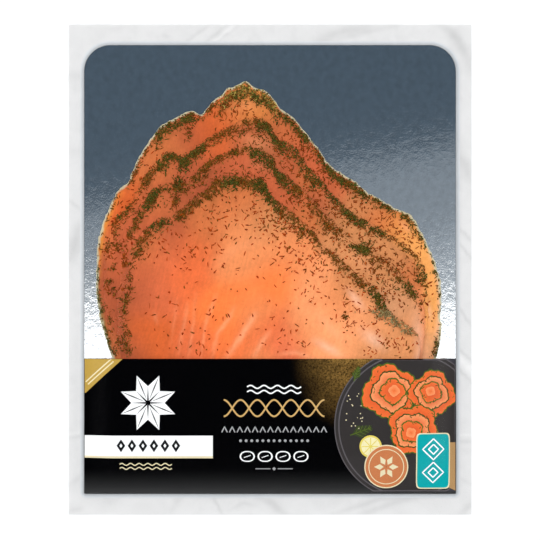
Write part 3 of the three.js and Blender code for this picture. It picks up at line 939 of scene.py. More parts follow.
SECOND_SLICE = SliceLook(
    edge=(
        (-105, 82.8), (-98, 82.3), (-91, 81.9), (-76, 83.4), (-69.5, 85.2), (-58, 89.5), (-52, 91.2),
        (-48.5, 91.2), (-42.5, 94.1), (-37.5, 92), (-36, 89.5), (-35, 85.5), (-31.5, 87),
        (-28, 87.2), (-21, 91.2), (-10.7, 93.1), (-7.7, 92.9), (-4.7, 91.8), (0.8, 87.2), (2, 81.8),
        (4.3, 78.2), (16, 70), (27, 63.3), (32.5, 62.4), (44, 60.5), (49.5, 61.5), (57.5, 66.3),
        (68, 72.7), (76.5, 78.1), (80.5, 80.9), (85, 82.8), (100, 83.8), (105, 84)),
    tones=(
        (-16, 56, B), (-34, 50, R), (-42, 43, R), (-53, 40, R), (-59, 35, C), (-65, 28, B),
        (-69, 20, B), (-78, -3, R), (-81, -16, R), (-82, -33, R), (0, 52, B), (11, 43, B),
        (24, 28, C), (38, 20, T), (40, 13, N), (44, 6, N), (55, -1, T), (65, -8, T),
        (65, -19, G), (77, -30, N), (79, -45, L)),
    strokes=(
        Stroke(((-12, 58), (4, 54)), 3.0, 0.12),
        Stroke(((44, 8), (58, -4)), 2.2, 0.2),
        Stroke(((79, -22), (80, -36), (79, -50)), 3.4, 0.3, Fat.WHITE),
    ),
    bands=(
        Band(-104, -82, 60, 2.0, 1.0, Herb.OLIVE),
        Band(-82, -60, 70, 1.5, 1.0, Herb.RUST),
        Band(-60, -50, 180, 1.8, 1.2, Herb.OLIVE),
        Band(-49, -41, 280, 2.6, 1.3, Herb.GREEN),
        Band(-40, -30, 110, 2.4, 1.8, Herb.OLIVE),
        Band(-30, -20, 220, 2.2, 1.5, Herb.OLIVE),
        Band(-20, -8, 190, 1.7, 1.1, Herb.OLIVE),
        Band(-7, 4, 420, 4.0, 2.2, Herb.GREEN),
        Band(4, 10, 160, 3.4, 2.2, Herb.GREEN),
        Band(10, 15, 100, 3.4, 2.2, Herb.OLIVE),
        Band(15, 34, 210, 2.8, 2.6, Herb.OLIVE),
        Band(34, 46, 70, 2.4, 2.4, Herb.OLIVE),
        Band(48, 57, 210, 2.4, 1.2, Herb.GREEN),
        Band(57, 74, 130, 2.6, 2.2, Herb.OLIVE),
        Band(74, 82, 150, 2.8, 1.5, Herb.GREEN),
        Band(82, 93, 28, 1.5, 1.0, Herb.OLIVE),
    ),
    clumps=(
        Clump(((-47, 56), (-50, 40)), 1.3, 50, Herb.OLIVE),
        Clump(((-48.5, 49), (-49.5, 43)), 1.1, 110, Herb.GREEN),
        Clump(((-50, 40), (-52, 33)), 1.0, 70, Herb.OLIVE),
        Clump(((50, 12), (52, 10.5)), 1.2, 60, Herb.GREEN),
        Clump(((10, 46), (28, 26), (46, 8), (62, -8)), 4.4, 158, Herb.RUST),
        Clump(((30, 24), (50, 6), (68, -14)), 5.0, 40, Herb.OLIVE),
        Clump(((58, -4), (70, -18)), 4.6, 46, Herb.RUST),
        Clump(((58, -4), (70, -18)), 4.6, 36, Herb.OLIVE),
        Clump(((-62, 34), (-40, 46), (-10, 56)), 3.0, 105, Herb.OLIVE),
        Clump(((-20, 52), (4, 48)), 3.0, 80, Herb.OLIVE),
    ),
    rim=0.0,
)

THIRD_SLICE = SliceLook(
    edge=(
        (-105, 85), (-98, 85.5), (-79, 91.2), (-71, 94.2), (-64, 96.8), (-58, 98.3), (-49.5, 97),
        (-43.5, 101), (-38.5, 103), (-33.3, 105), (-30.5, 104.5), (-29, 97.5), (-27, 98.8),
        (-24, 99.5), (-18.5, 102.6), (-9.3, 106.9), (-7, 107.9), (-4.3, 108), (-1.7, 107.2),
        (0, 104.4), (1, 100), (2.6, 96.4), (9, 92.1), (14, 83.8), (27.5, 73.9), (36.5, 71.6),
        (41, 71.7), (49, 75.6), (61, 82), (68, 86.5), (72, 87.4), (76.5, 87), (83.5, 85.7),
        (98, 84.4), (105, 85)),
    tones=(
        (-38, 62, B), (-30, 68, F), (-43, 54, R), (-62, 51, C), (-66, 44, B), (-75, 31, B),
        (-81, 21, B), (-85, 5, B), (-87, -11, R), (-85, -33, R), (-14, 72, B), (-6, 63, T), (0, 66, R), (5, 56, R), (10, 60, B),
        (24, 50, C), (28, 37, R), (40, 33, T), (51, 21, T), (62, 12, T), (70, 6, T), (78, -3, C), (83, -16, A)),
    strokes=(
        Stroke(((-16, 72), (0, 66)), 3.0, 0.14),
    ),
    bands=(
        Band(-104, -84, 40, 1.6, 1.0, Herb.OLIVE),
        Band(-84, -62, 40, 2.6, 2.0, Herb.RUST),
        Band(-62, -54, 70, 2.0, 1.3, Herb.OLIVE),
        Band(-54, -44, 90, 2.0, 1.2, Herb.OLIVE),
        Band(-44, -37, 140, 2.0, 1.2, Herb.OLIVE),
        Band(-37, -27, 370, 3.0, 1.5, Herb.GREEN),
        Band(-27, -21, 220, 1.9, 1.5, Herb.GREEN),
        Band(-21, -14, 120, 1.9, 1.5, Herb.OLIVE),
        Band(-14, -3, 180, 2.6, 2.0, Herb.OLIVE),
        Band(-4, 5, 420, 3.0, 2.2, Herb.GREEN),
        Band(5, 19, 272, 3.2, 2.0, Herb.GREEN),
        Band(19, 36, 180, 1.5, 0.9, Herb.GREEN),
        Band(34, 47, 250, 2.2, 1.3, Herb.GREEN),
        Band(48, 54, 105, 2.0, 1.2, Herb.GREEN),
        Band(54, 60, 40, 2.0, 1.2, Herb.OLIVE),
        Band(60, 70, 80, 1.8, 1.4, Herb.OLIVE),
        Band(70, 78, 110, 2.4, 1.3, Herb.GREEN),
        Band(78, 90, 30, 1.8, 1.4, Herb.OLIVE),
    ),
    clumps=(
        Clump(((4, 62), (22, 44), (40, 28), (58, 12), (74, -4)), 3.6, 255, Herb.RUST),
        Clump(((30, 34), (52, 18), (76, -8)), 3.6, 80, Herb.OLIVE),
        Clump(((-22, 71), (-10, 72), (8, 62)), 3.6, 112, Herb.OLIVE),
        Clump(((-47, 61), (-47, 53)), 1.2, 120, Herb.GREEN),
        Clump(((-66, 44), (-80, 24), (-86, 4)), 3.0, 50, Herb.RUST),
    ),
    rim=0.0,
)

LOWEST_SLICE = SliceLook(
    edge=(
        (-105, 87.5), (-96, 89.5), (-86, 93), (-75, 96.7), (-65.5, 101.5), (-62, 103), (-55, 105),
        (-49.5, 107), (-46, 105.5), (-40, 111), (-30.5, 118.3), (-28, 119), (-21, 119.7),
        (-20, 118), (-19, 114.8), (-14, 121.5), (-12.2, 122.3), (-10.8, 126.3), (-9.1, 125.6),
        (-6, 128.3), (-3.5, 123.6), (-1.5, 123), (-0.3, 121), (2.5, 113.4), (7, 108), (9, 104.2),
        (19.5, 89.8), (23, 87.3), (38, 85.5), (48, 88.8), (53.5, 93.9), (68, 93.5), (77.5, 94),
        (89, 91.8), (94, 92.4), (98, 92.6), (105, 92)),
    tones=(
        (-11, 89, D), (-4, 87, D), (-19, 86, C), (-30, 80, F), (-33, 75, F), (-40, 75, R), (-46, 74, R),
        (-54, 70, C), (-59, 64, C), (-65, 60, C), (-70, 53, C), (-77, 42, F), (-81, 33, F),
        (-84, 26, F), (-88, 16, C), (-89, 2, R), (-89, -16, R), (-86, -33, R), (-83, -41, C),
        (6, 80, R), (9, 74, C), (16, 67, B), (24, 59, B), (38, 48, B), (51, 38, T), (60, 31, C), (70, 26, D),
        (77, 19, M), (84, 6, M), (88, -6, M), (89, -22, M), (88, -38, M), (85, -43, L)),
    strokes=(
        Stroke(((-20, 88), (-2, 90)), 3.0, 0.15),
        Stroke(((-80, 42), (-85, 33.5), (-90, 21.5), (-92, 8), (-92.6, -6)), 1.5, 0.7, Fat.GILT),
        Stroke(((-92.8, 0), (-93, -10), (-91.8, -20), (-88.5, -34), (-86, -42)), 1.2, 0.8, Fat.MOSS),
        Stroke(((-18, 92), (-6, 96), (-1, 92)), 2.2, 0.25, Fat.GILT),
        Stroke(((86, 12), (91, 0), (92.6, -12), (92.4, -24), (90, -38)), 1.9, 0.7, Fat.WHITE),
        Stroke(((70, 26), (76, 20)), 1.5, 0.4),
        Stroke(((82, -15), (86, -26)), 2.0, 0.5, Fat.WHITE),
    ),
    bands=(
        Band(-104, -84, 170, 0.7, 0.7, Herb.GREEN),
        Band(-84, -74, 70, 0.5, 0.5, Herb.GREEN),
        Band(-74, -62, 20, 0.5, 0.5, Herb.OLIVE),
        Band(-62, -46, 50, 0.6, 0.5, Herb.OLIVE),
        Band(-46, -34, 120, 1.3, 0.7, Herb.OLIVE),
        Band(-34, -21, 360, 3.0, 1.5, Herb.GREEN),
        Band(-21, -14, 100, 1.5, 0.8, Herb.OLIVE),
        Band(-14, -9, 130, 5.6, 1.8, Herb.OLIVE),
        Band(-9, 2, 330, 5.6, 2.0, Herb.GREEN),
        Band(-13, 2, 360, 3.2, 2.2, Herb.YELLOW),
        Band(2, 12, 280, 2.8, 1.3, Herb.GREEN),
        Band(12, 22, 165, 2.0, 1.1, Herb.GREEN),
        Band(22, 38, 410, 2.6, 1.3, Herb.GREEN),
        Band(38, 50, 180, 1.8, 1.0, Herb.GREEN),
        Band(50, 62, 150, 2.0, 1.2, Herb.GREEN),
        Band(62, 96, 110, 0.7, 0.7, Herb.GREEN),
        Band(96, 104, 120, 1.0, 0.7, Herb.GREEN),
    ),
    clumps=(
        Clump(((-84, 15), (-82, 10)), 1.4, 60, Herb.OLIVE),
        Clump(((-46, 81.5), (-41, 80.5)), 1.1, 110, Herb.GREEN),
        Clump(((-44, 77), (-44, 69)), 0.8, 40, Herb.OLIVE),
        Clump(((-81.5, 28), (-81.6, 27.5)), 0.5, 26, Herb.GREEN),
        Clump(((-83.4, 24), (-83.5, 23.5)), 0.5, 22, Herb.OLIVE),
        Clump(((-87.3, 13), (-87.4, 12.5)), 0.4, 16, Herb.OLIVE),
        Clump(((-84.1, 1), (-84.2, 0)), 0.5, 22, Herb.OLIVE),
        Clump(((-88.5, -6), (-85.5, -7)), 0.4, 34, Herb.OLIVE),
        Clump(((-84.1, -11), (-84.2, -12)), 0.4, 18, Herb.OLIVE),
        Clump(((-77.6, -17), (-78, -23)), 0.5, 30, Herb.OLIVE),
        Clump(((-81.5, -38), (-81.6, -39)), 0.5, 16, Herb.OLIVE),
        Clump(((12, 72), (26, 58), (42, 44), (60, 30), (78, 12)), 3.6, 300, Herb.RUST),
        Clump(((-30, 80), (-10, 84)), 3.0, 40, Herb.RUST),
        Clump(((-60, 62), (-80, 36), (-92, 4)), 2.6, 40, Herb.BROWN),
        Clump(((86, 0), (88, -30)), 2.4, 26, Herb.BROWN),
    ),
    rim=0.85,
)


@dataclass
class Pile:
    """The four slices, as polar surfaces round the pile's centre, and the dill on them. Slice 0 is the
    top one."""

    looks: tuple[SliceLook, ...] = (TOP_SLICE, SECOND_SLICE, THIRD_SLICE, LOWEST_SLICE)
    centre: tuple[float, float] = (0.0, -26.0)
    base: float = 1.15
    thickness: float = 1.5
    gap: float = 0.15
    rounding: float = 1.4
    taper: float = 5.0
    edge_shares: tuple[float, float, float] = (0.1, 0.4, 0.5)
    tail_length: float = 66.0
    tail_step: float = 2.0
    swell: float = 0.35
    swell_sizes: tuple[float, float] = (15.0, 13.0)
    flap_edge: float = -47.95
    card_top: float = 1.0
    bearings: int = 640
    ragged: float = 0.22
    edge_shade: float = 0.06
    tone_reach: float = 7.0
    see_through: float = 5.0
    tables: list[Array] = field(default_factory=list)

    def __post_init__(self) -> None:
        """Works out each slice's reach for every quarter of a degree."""
        self.dense = np.arange(-105, 255.01, 0.25)
        self.tables = [self.edge_table(k) for k in range(len(self.looks))]

    def edge_table(self, k: int) -> Array:
        """A slice's reach over the dense bearings. Where the edge shows it runs straight between its
        landmarks, with its corners rounded and a slight raggedness. The hidden tail is a superellipse
        of the fourth power, as wide as the slice is where it goes under the flap.

        Args:
            k: the slice's number.
        Returns:
            The reach in mm for each dense bearing.
        """
        at, reach = np.array(self.looks[k].edge, float).T
        turn = np.radians(self.dense)
        left, right = np.abs(reach[[0, -1]] * np.sin(np.radians(at[[0, -1]])))
        half = np.where(self.dense < 180, right, left)
        length = self.tail_length + self.tail_step * k
        tail = (np.abs(np.sin(turn) / half) ** 4 + np.abs(np.cos(turn) / length) ** 4) ** -0.25
        plain = np.where(self.dense <= 105, np.interp(self.dense, at, reach), tail)
        plain = np.convolve(np.pad(plain, 2, mode="edge"), (0.1, 0.25, 0.3, 0.25, 0.1), "valid")
        draw = np.random.default_rng(40 + k)
        fray = sum(np.sin(n * turn + draw.uniform(0, math.tau)) for n in (29, 47, 71, 103, 151, 211))
        fade = smoothstep(105 - np.abs(self.dense), 0, 8)
        return plain + self.ragged * fade * fray / 2

    def reach(self, k: int, bearing: Array) -> Array:
        """How far slice k reaches from the pile's centre at bearings in degrees."""
        turned = (bearing + 105) % 360 - 105
        return np.interp(turned, self.dense, self.tables[k])

    def polar(self, x: Array, y: Array) -> tuple[Array, Array]:
        """Bearings in degrees clockwise from +Y, and distances, from the pile's centre."""
        dx, dy = x - self.centre[0], y - self.centre[1]
        return np.degrees(np.arctan2(dx, dy)), np.hypot(dx, dy)

    def interface(self, x: Array, y: Array, below: int) -> Array:
        """The height between slices, with so many below: a swell that grows with the pile."""
        shown = smoothstep(y, self.flap_edge, self.flap_edge + 20)
        across = np.sin((x + 0.4 * y) / self.swell_sizes[0])
        along = np.cos((y - 0.3 * x) / self.swell_sizes[1])
        wave = self.swell * shown * (across + along) / len(self.looks)
        return self.base + below * (self.thickness + self.gap + wave)

    def top(self, k: int, x: Array, y: Array, inset: Array) -> Array:
        """The height of a slice's top face: its full thickness, less towards its edge, where a share
        stands at the very edge, more is gained over the rounding and the rest over the taper."""
        below = len(self.looks) - 1 - k
        floor = self.interface(x, y, below)
        full = self.interface(x, y, below + 1) - self.gap - floor
        edge, rounding, taper = self.edge_shares
        share = edge + rounding * np.sqrt(np.clip(inset / self.rounding, 0, 1))
        share = share + taper * smoothstep(inset, 0, self.taper)
        return floor + full * share

    def surface(self, x: Array, y: Array) -> Array:
        """The height of the topmost slice at each place, or of the card where there is none."""
        bearing, away = self.polar(x, y)
        height = np.full(x.shape, self.card_top)
        for k in reversed(range(len(self.looks))):
            inset = self.reach(k, bearing) - away
            height = np.where(inset > 0, self.top(k, x, y, np.maximum(inset, 0)), height)
        return height

    def holds(self, x: Array, y: Array) -> Array:
        """Whether each place is on the pile, a little in from the lowest slice's edge."""
        bearing, away = self.polar(x, y)
        return away < self.reach(len(self.looks) - 1, bearing) - 0.1

    def flesh(self, k: int, x: Array, y: Array) -> Array:
        """Slice k's tones blended by nearness: each has the weight of a bell over its distance.

        Args:
            k: the slice's number.
            x: places in mm.
            y: places in mm.
        Returns:
            Linear colours, with a last axis of 3.
        """
        total = np.zeros(x.shape)
        colour = np.zeros((*x.shape, 3))
        for tone_x, tone_y, tone in self.looks[k].tones:
            away = (x - tone_x) ** 2 + (y - tone_y) ** 2
            weight = np.exp(-away / (2 * self.tone_reach ** 2)) + 1e-12
            total += weight
            colour += weight[..., None] * linear(tone.value)
        return colour / total[..., None]

    def paint(self, k: int, x: Array, y: Array, inset: Array) -> Array:
        """The flesh's colour at each place of a slice: its tones, which the slice below shows through
        near the edge, then the fat strokes, the dill's stain under its bands, and on the lowest slice
        the pale rim, part oil and part painted highlight; the other slices get a painted shade that
        darkens them towards the edge.

        Args:
            k: the slice's number.
            x: places in mm.
            y: places in mm.
            inset: distances in mm from the slice's edge.
        Returns:
            Linear colours, with a last axis of 3.
        """
        look = self.looks[k]
        colour = self.flesh(k, x, y)
        if k + 1 < len(self.looks):
            through = 0.9 * (1 - smoothstep(inset, 0, self.see_through))[..., None]
            colour = colour * (1 - through) + through * self.flesh(k + 1, x, y)
        for stroke in look.strokes:
            weight = stroke.weight(x, y)[..., None]
            colour = colour * (1 - weight) + weight * linear(stroke.tone.value)
        bearing, _ = self.polar(x, y)
        stain = np.zeros(x.shape)
        for band in look.bands:
            along = smoothstep(bearing, band.start - 2, band.start + 2)
            along = along * (1 - smoothstep(bearing, band.stop - 2, band.stop + 2))
            depth = np.exp(-((inset - band.depth) / (1.2 + 1.9 * band.spread)) ** 2)
            stain = np.maximum(stain, band.stain * along * depth)
        stain = stain * np.clip(0.7 + 0.5 * ripples(x, y, 4.5, 70 + k), 0.2, 1)
        weight = (0.65 * np.clip(stain, 0, 1))[..., None]
        colour = colour * (1 - weight) + weight * linear(Fat.STAIN.value)
        # Pale rim of the lowest slice: partly oil at the edge, partly a painted highlight of the film along it,
        # wider to the right.
        if look.rim:
            uneven = 1.25 + 0.4 * ripples(x, y, 5.0, 90 + k) + 0.3 * smoothstep(x, 55, 88)
            weight = (look.rim * (1 - smoothstep(inset / uneven, 0.4, 1.2)))[..., None]
            return colour * (1 - weight) + weight * linear(Fat.RIM.value)
        # Painted shade: the upper slices darken towards their edge.
        return colour * (1 - self.edge_shade * np.exp(-(inset / self.rounding) ** 2))[..., None]

    def insets(self, k: int) -> Array:
        """How far in from its edge each ring of slice k lies, in mm, before the shrunk inner rings."""
        near = [0.0, 0.15, 0.35, 0.6, 0.9, 1.3, 1.8]
        deep = 22.0 if k == 0 else 30.0
        return np.array([*near, *np.arange(2.4, deep, 0.75 if k == 0 else 0.9)])

    def slice_skin(self, k: int) -> Skin:
        """Builds a slice's body: rings from its centre over its top face, round its edge, and back to
        the centre along its underside.

        Args:
            k: the slice's number.
        Returns:
            The body, with its colours.
        """
        bearing = np.linspace(0, 360, self.bearings, endpoint=False)
        own = self.reach(k, bearing)
        insets = self.insets(k)
        inner = np.linspace(0, 1, 72 if k == 0 else 10)[1:-1]
        rings = [*(part * (own - insets[-1]) for part in inner)]
        rings += [own - inset for inset in insets[::-1]]
        under = [own - 0.12, own - 0.4, own - self.rounding, own - 3]
        under += [part * own for part in (0.75, 0.5, 0.25)]
        away = np.array([*rings, *under])
        turn = np.radians(bearing)
        x = self.centre[0] + away * np.sin(turn)
        y = self.centre[1] + away * np.cos(turn)
        inset = own - away
        count = len(rings)
        below = len(self.looks) - 1 - k
        floor = self.interface(x, y, below)
        grain = 0.05 * ripples(x, y, 7.0, 20 + k) * smoothstep(inset, 0.5, 3)
        pits = sum(stroke.weight(x, y) for stroke in self.looks[k].strokes)
        height = self.top(k, x, y, inset) + grain - 0.1 * pits
        wall = np.zeros(len(under))
        wall[:2] = (0.05, 0.02)
        height[count:] = floor[count:] + wall[:, None] * self.thickness
        colours = self.paint(k, x, y, inset)
        loops = np.stack([x, y, height], axis=-1)
        middle_x, middle_y = (np.array([value]) for value in self.centre)
        full = np.array([float(own.min())])
        top = np.array([*self.centre, self.top(k, middle_x, middle_y, full)[0]])
        bottom = np.array([*self.centre, self.interface(middle_x, middle_y, below)[0]])
        skin = loop_skin(top, loops, bottom)
        skin.tone = np.concatenate([colours[0, :1], colours.reshape(-1, 3), colours[-1, :1]])
        return skin

    def build(self) -> list[bpy.types.Object]:
        """Builds the slices.

        Returns:
            One piece for each slice.
        """
        flesh = CuredSalmon().material()
        pieces = []
        for k in range(len(self.looks)):
            piece = make_piece(f"gravlax_slice_{k + 1}", self.slice_skin(k), [flesh])
            pieces.append(settle(piece, "gravlax", f"slice_{k + 1}"))
        return pieces


# Dill

@dataclass
class Dill:
    """Chopped dill: small bent spindles of three sides that lie along the pile's surface."""

    pile: Pile
    length: tuple[float, float] = (0.7, 3.3)
    width: tuple[float, float] = (0.38, 0.76)
    ridge: tuple[float, float] = (0.35, 0.65)
    thick: float = 1.7
    thick_share: float = 0.07
    bend: float = 0.6
    stack: float = 0.35
    clot_size: int = 8
    clot_reach: float = 0.95
    loose: float = 0.3
    seed: int = 5

    def places(self, k: int, draw: np.random.Generator) -> tuple[Array, Array, list[Herb]]:
        """Draws where the fronds of slice k lie.

        Args:
            k: the slice's number.
            draw: the source of draws.
        Returns:
            The places' x and y in mm, and the mix that each frond is of.
        """
        xs, ys, herbs = [], [], []
        for band in self.pile.looks[k].bands:
            clots = max(3, band.count // self.clot_size)
            pick = draw.integers(0, clots, band.count)
            loose = draw.uniform(0, 1, band.count) < self.loose
            bearing = draw.uniform(band.start, band.stop, clots)[pick]
            bearing = bearing + draw.normal(0, self.clot_reach / 1.6, band.count)
            inset = draw.normal(band.depth, 0.8 * band.spread, clots)[pick]
            inset = inset + draw.normal(0, self.clot_reach, band.count)
            bearing = np.where(loose, draw.uniform(band.start, band.stop, band.count), bearing)
            strays = draw.normal(band.depth, 1.7 * band.spread, band.count)
            inset = np.where(loose, strays, inset)
            away = self.pile.reach(k, bearing) - np.abs(inset)
            turn = np.radians(bearing)
            xs.append(self.pile.centre[0] + away * np.sin(turn))
            ys.append(self.pile.centre[1] + away * np.cos(turn))
            herbs += [band.herb] * band.count
        for clump in self.pile.looks[k].clumps:
            path = np.array(clump.path, float)
            part = draw.uniform(0, len(path) - 1, clump.count)
            leg = np.minimum(part.astype(int), len(path) - 2)
            at = path[leg] + (part - leg)[:, None] * (path[leg + 1] - path[leg])
            knots = draw.normal(0, clump.spread, (max(2, clump.count // 2), 2))
            at = at + knots[draw.integers(0, len(knots), clump.count)]
            at = at + draw.normal(0, 0.9, at.shape)
            xs.append(at[:, 0])
            ys.append(at[:, 1])
            herbs += [clump.herb] * clump.count
        return np.concatenate(xs), np.concatenate(ys), herbs

    def fronds(self, k: int) -> Skin:
        """Builds slice k's fronds. Each is a line of four stations, bent by the square of the distance
        from its middle, with a tip at each end and a ring of three points at the two middle stations.

        Args:
            k: the slice's number.
        Returns:
            All the fronds in one body, each closed.
        """
        draw = np.random.default_rng(self.seed + k)
        x, y, herbs = self.places(k, draw)
        count = len(x)
        heading = draw.uniform(0, math.tau, count)
        shortest, longest = self.length
        brown = np.array([herb in (Herb.BROWN, Herb.RUST) for herb in herbs])
        share = draw.uniform(0, 1, count) ** np.where(brown, 1.3, 2.2)
        length = shortest + (longest - shortest) * share
        width = draw.uniform(*self.width, count) * (1 - 0.3 * share) * np.where(brown, 1.32, 1.0)
        width = width * np.where(draw.uniform(0, 1, count) < self.thick_share, self.thick, 1.0)
        bend = self.bend * draw.normal(0, 1, count)
        ridge = np.where(brown, self.ridge[0], self.ridge[1])
        lift = self.stack * draw.uniform(0, 1, count) ** 2
        station = np.array([-0.5, -0.2, 0.2, 0.5])
        ahead = length[:, None] * station
        aside = bend[:, None] * (station ** 2 - 0.1)
        cos, sin = np.cos(heading)[:, None], np.sin(heading)[:, None]
        sx = x[:, None] + ahead * cos - aside * sin
        sy = y[:, None] + ahead * sin + aside * cos
        sz = self.pile.surface(sx, sy) + lift[:, None] + 0.12 * width[:, None]
        keep = (sy.min(axis=1) > self.pile.flap_edge + 0.6) & self.pile.holds(sx, sy).all(axis=1)
        points = np.zeros((count, 8, 3))
        points[:, 0] = np.stack([sx[:, 0], sy[:, 0], sz[:, 0]], axis=-1)
        points[:, 7] = np.stack([sx[:, 3], sy[:, 3], sz[:, 3]], axis=-1)
        for ring in (0, 1):
            for corner in range(3):
                turn = math.pi / 2 + corner * math.tau / 3
                out = width / 2 * math.cos(turn)
                up = ridge * width / 2 * math.sin(turn)
                points[:, 1 + 3 * ring + corner] = np.stack([
                    sx[:, 1 + ring] - out * sin[:, 0],
                    sy[:, 1 + ring] + out * cos[:, 0],
                    sz[:, 1 + ring] + up], axis=-1)
        tones = np.zeros((count, 3))
        for herb in Herb:
            palette = np.array([linear(colour) for colour in herb.value])
            mask = np.array([own is herb for own in herbs])
            tones[mask] = palette[draw.integers(0, len(palette), mask.sum())]
        tones = tones * draw.uniform(0.75, 1.25, (count, 1))
        points, tones = points[keep], tones[keep]
        first = 8 * np.arange(len(points))[:, None, None]
        quads = np.array([(1, 4, 5, 2), (2, 5, 6, 3), (3, 6, 4, 1)])
        tris = np.array([(0, 1, 2), (0, 2, 3), (0, 3, 1), (7, 5, 4), (7, 6, 5), (7, 4, 6)])
        skin = Skin(points.reshape(-1, 3), (first + quads).reshape(-1, 4),
                    (first + tris).reshape(-1, 3), np.repeat(tones, 8, axis=0))
        return skin.outward()

    def build(self) -> list[bpy.types.Object]:
        """Builds the dill.

        Returns:
            One piece for each slice.
        """
        herb = ChoppedDill().material()
        pieces = []
        for k in range(len(self.pile.looks)):
            piece = make_piece(f"dill_on_slice_{k + 1}", self.fronds(k), [herb], crease=180.0)
            pieces.append(settle(piece, "dill", f"slice_{k + 1}"))
        return pieces


# Print on the flap

class Ink(Enum):
    """The print's colours."""

    WHITE = "#fbfbfb"
    CREAM = "#e9dcb4"
    GOLD = "#bd9a45"
    PALE_GOLD = "#cfa96a"
    BLACK = "#050507"
    SILVER = "#a9a9ab"
    SLATE = "#322e2d"
    RIM_DARK = "#3c3a40"
    RIM_LIGHT = "#5d585b"
    SALMON = "#ee6f35"
    DEEP_SALMON = "#d9552a"
    PALE_SALMON = "#f79a63"
    LEAF = "#51641f"
    DARK_LEAF = "#39461a"
    LEMON = "#e2cf62"
    LEMON_FLESH = "#efe6b4"
    BADGE = "#c87a4b"
    CRISP = "#b08a5c"
    TEAL = "#00a3a6"


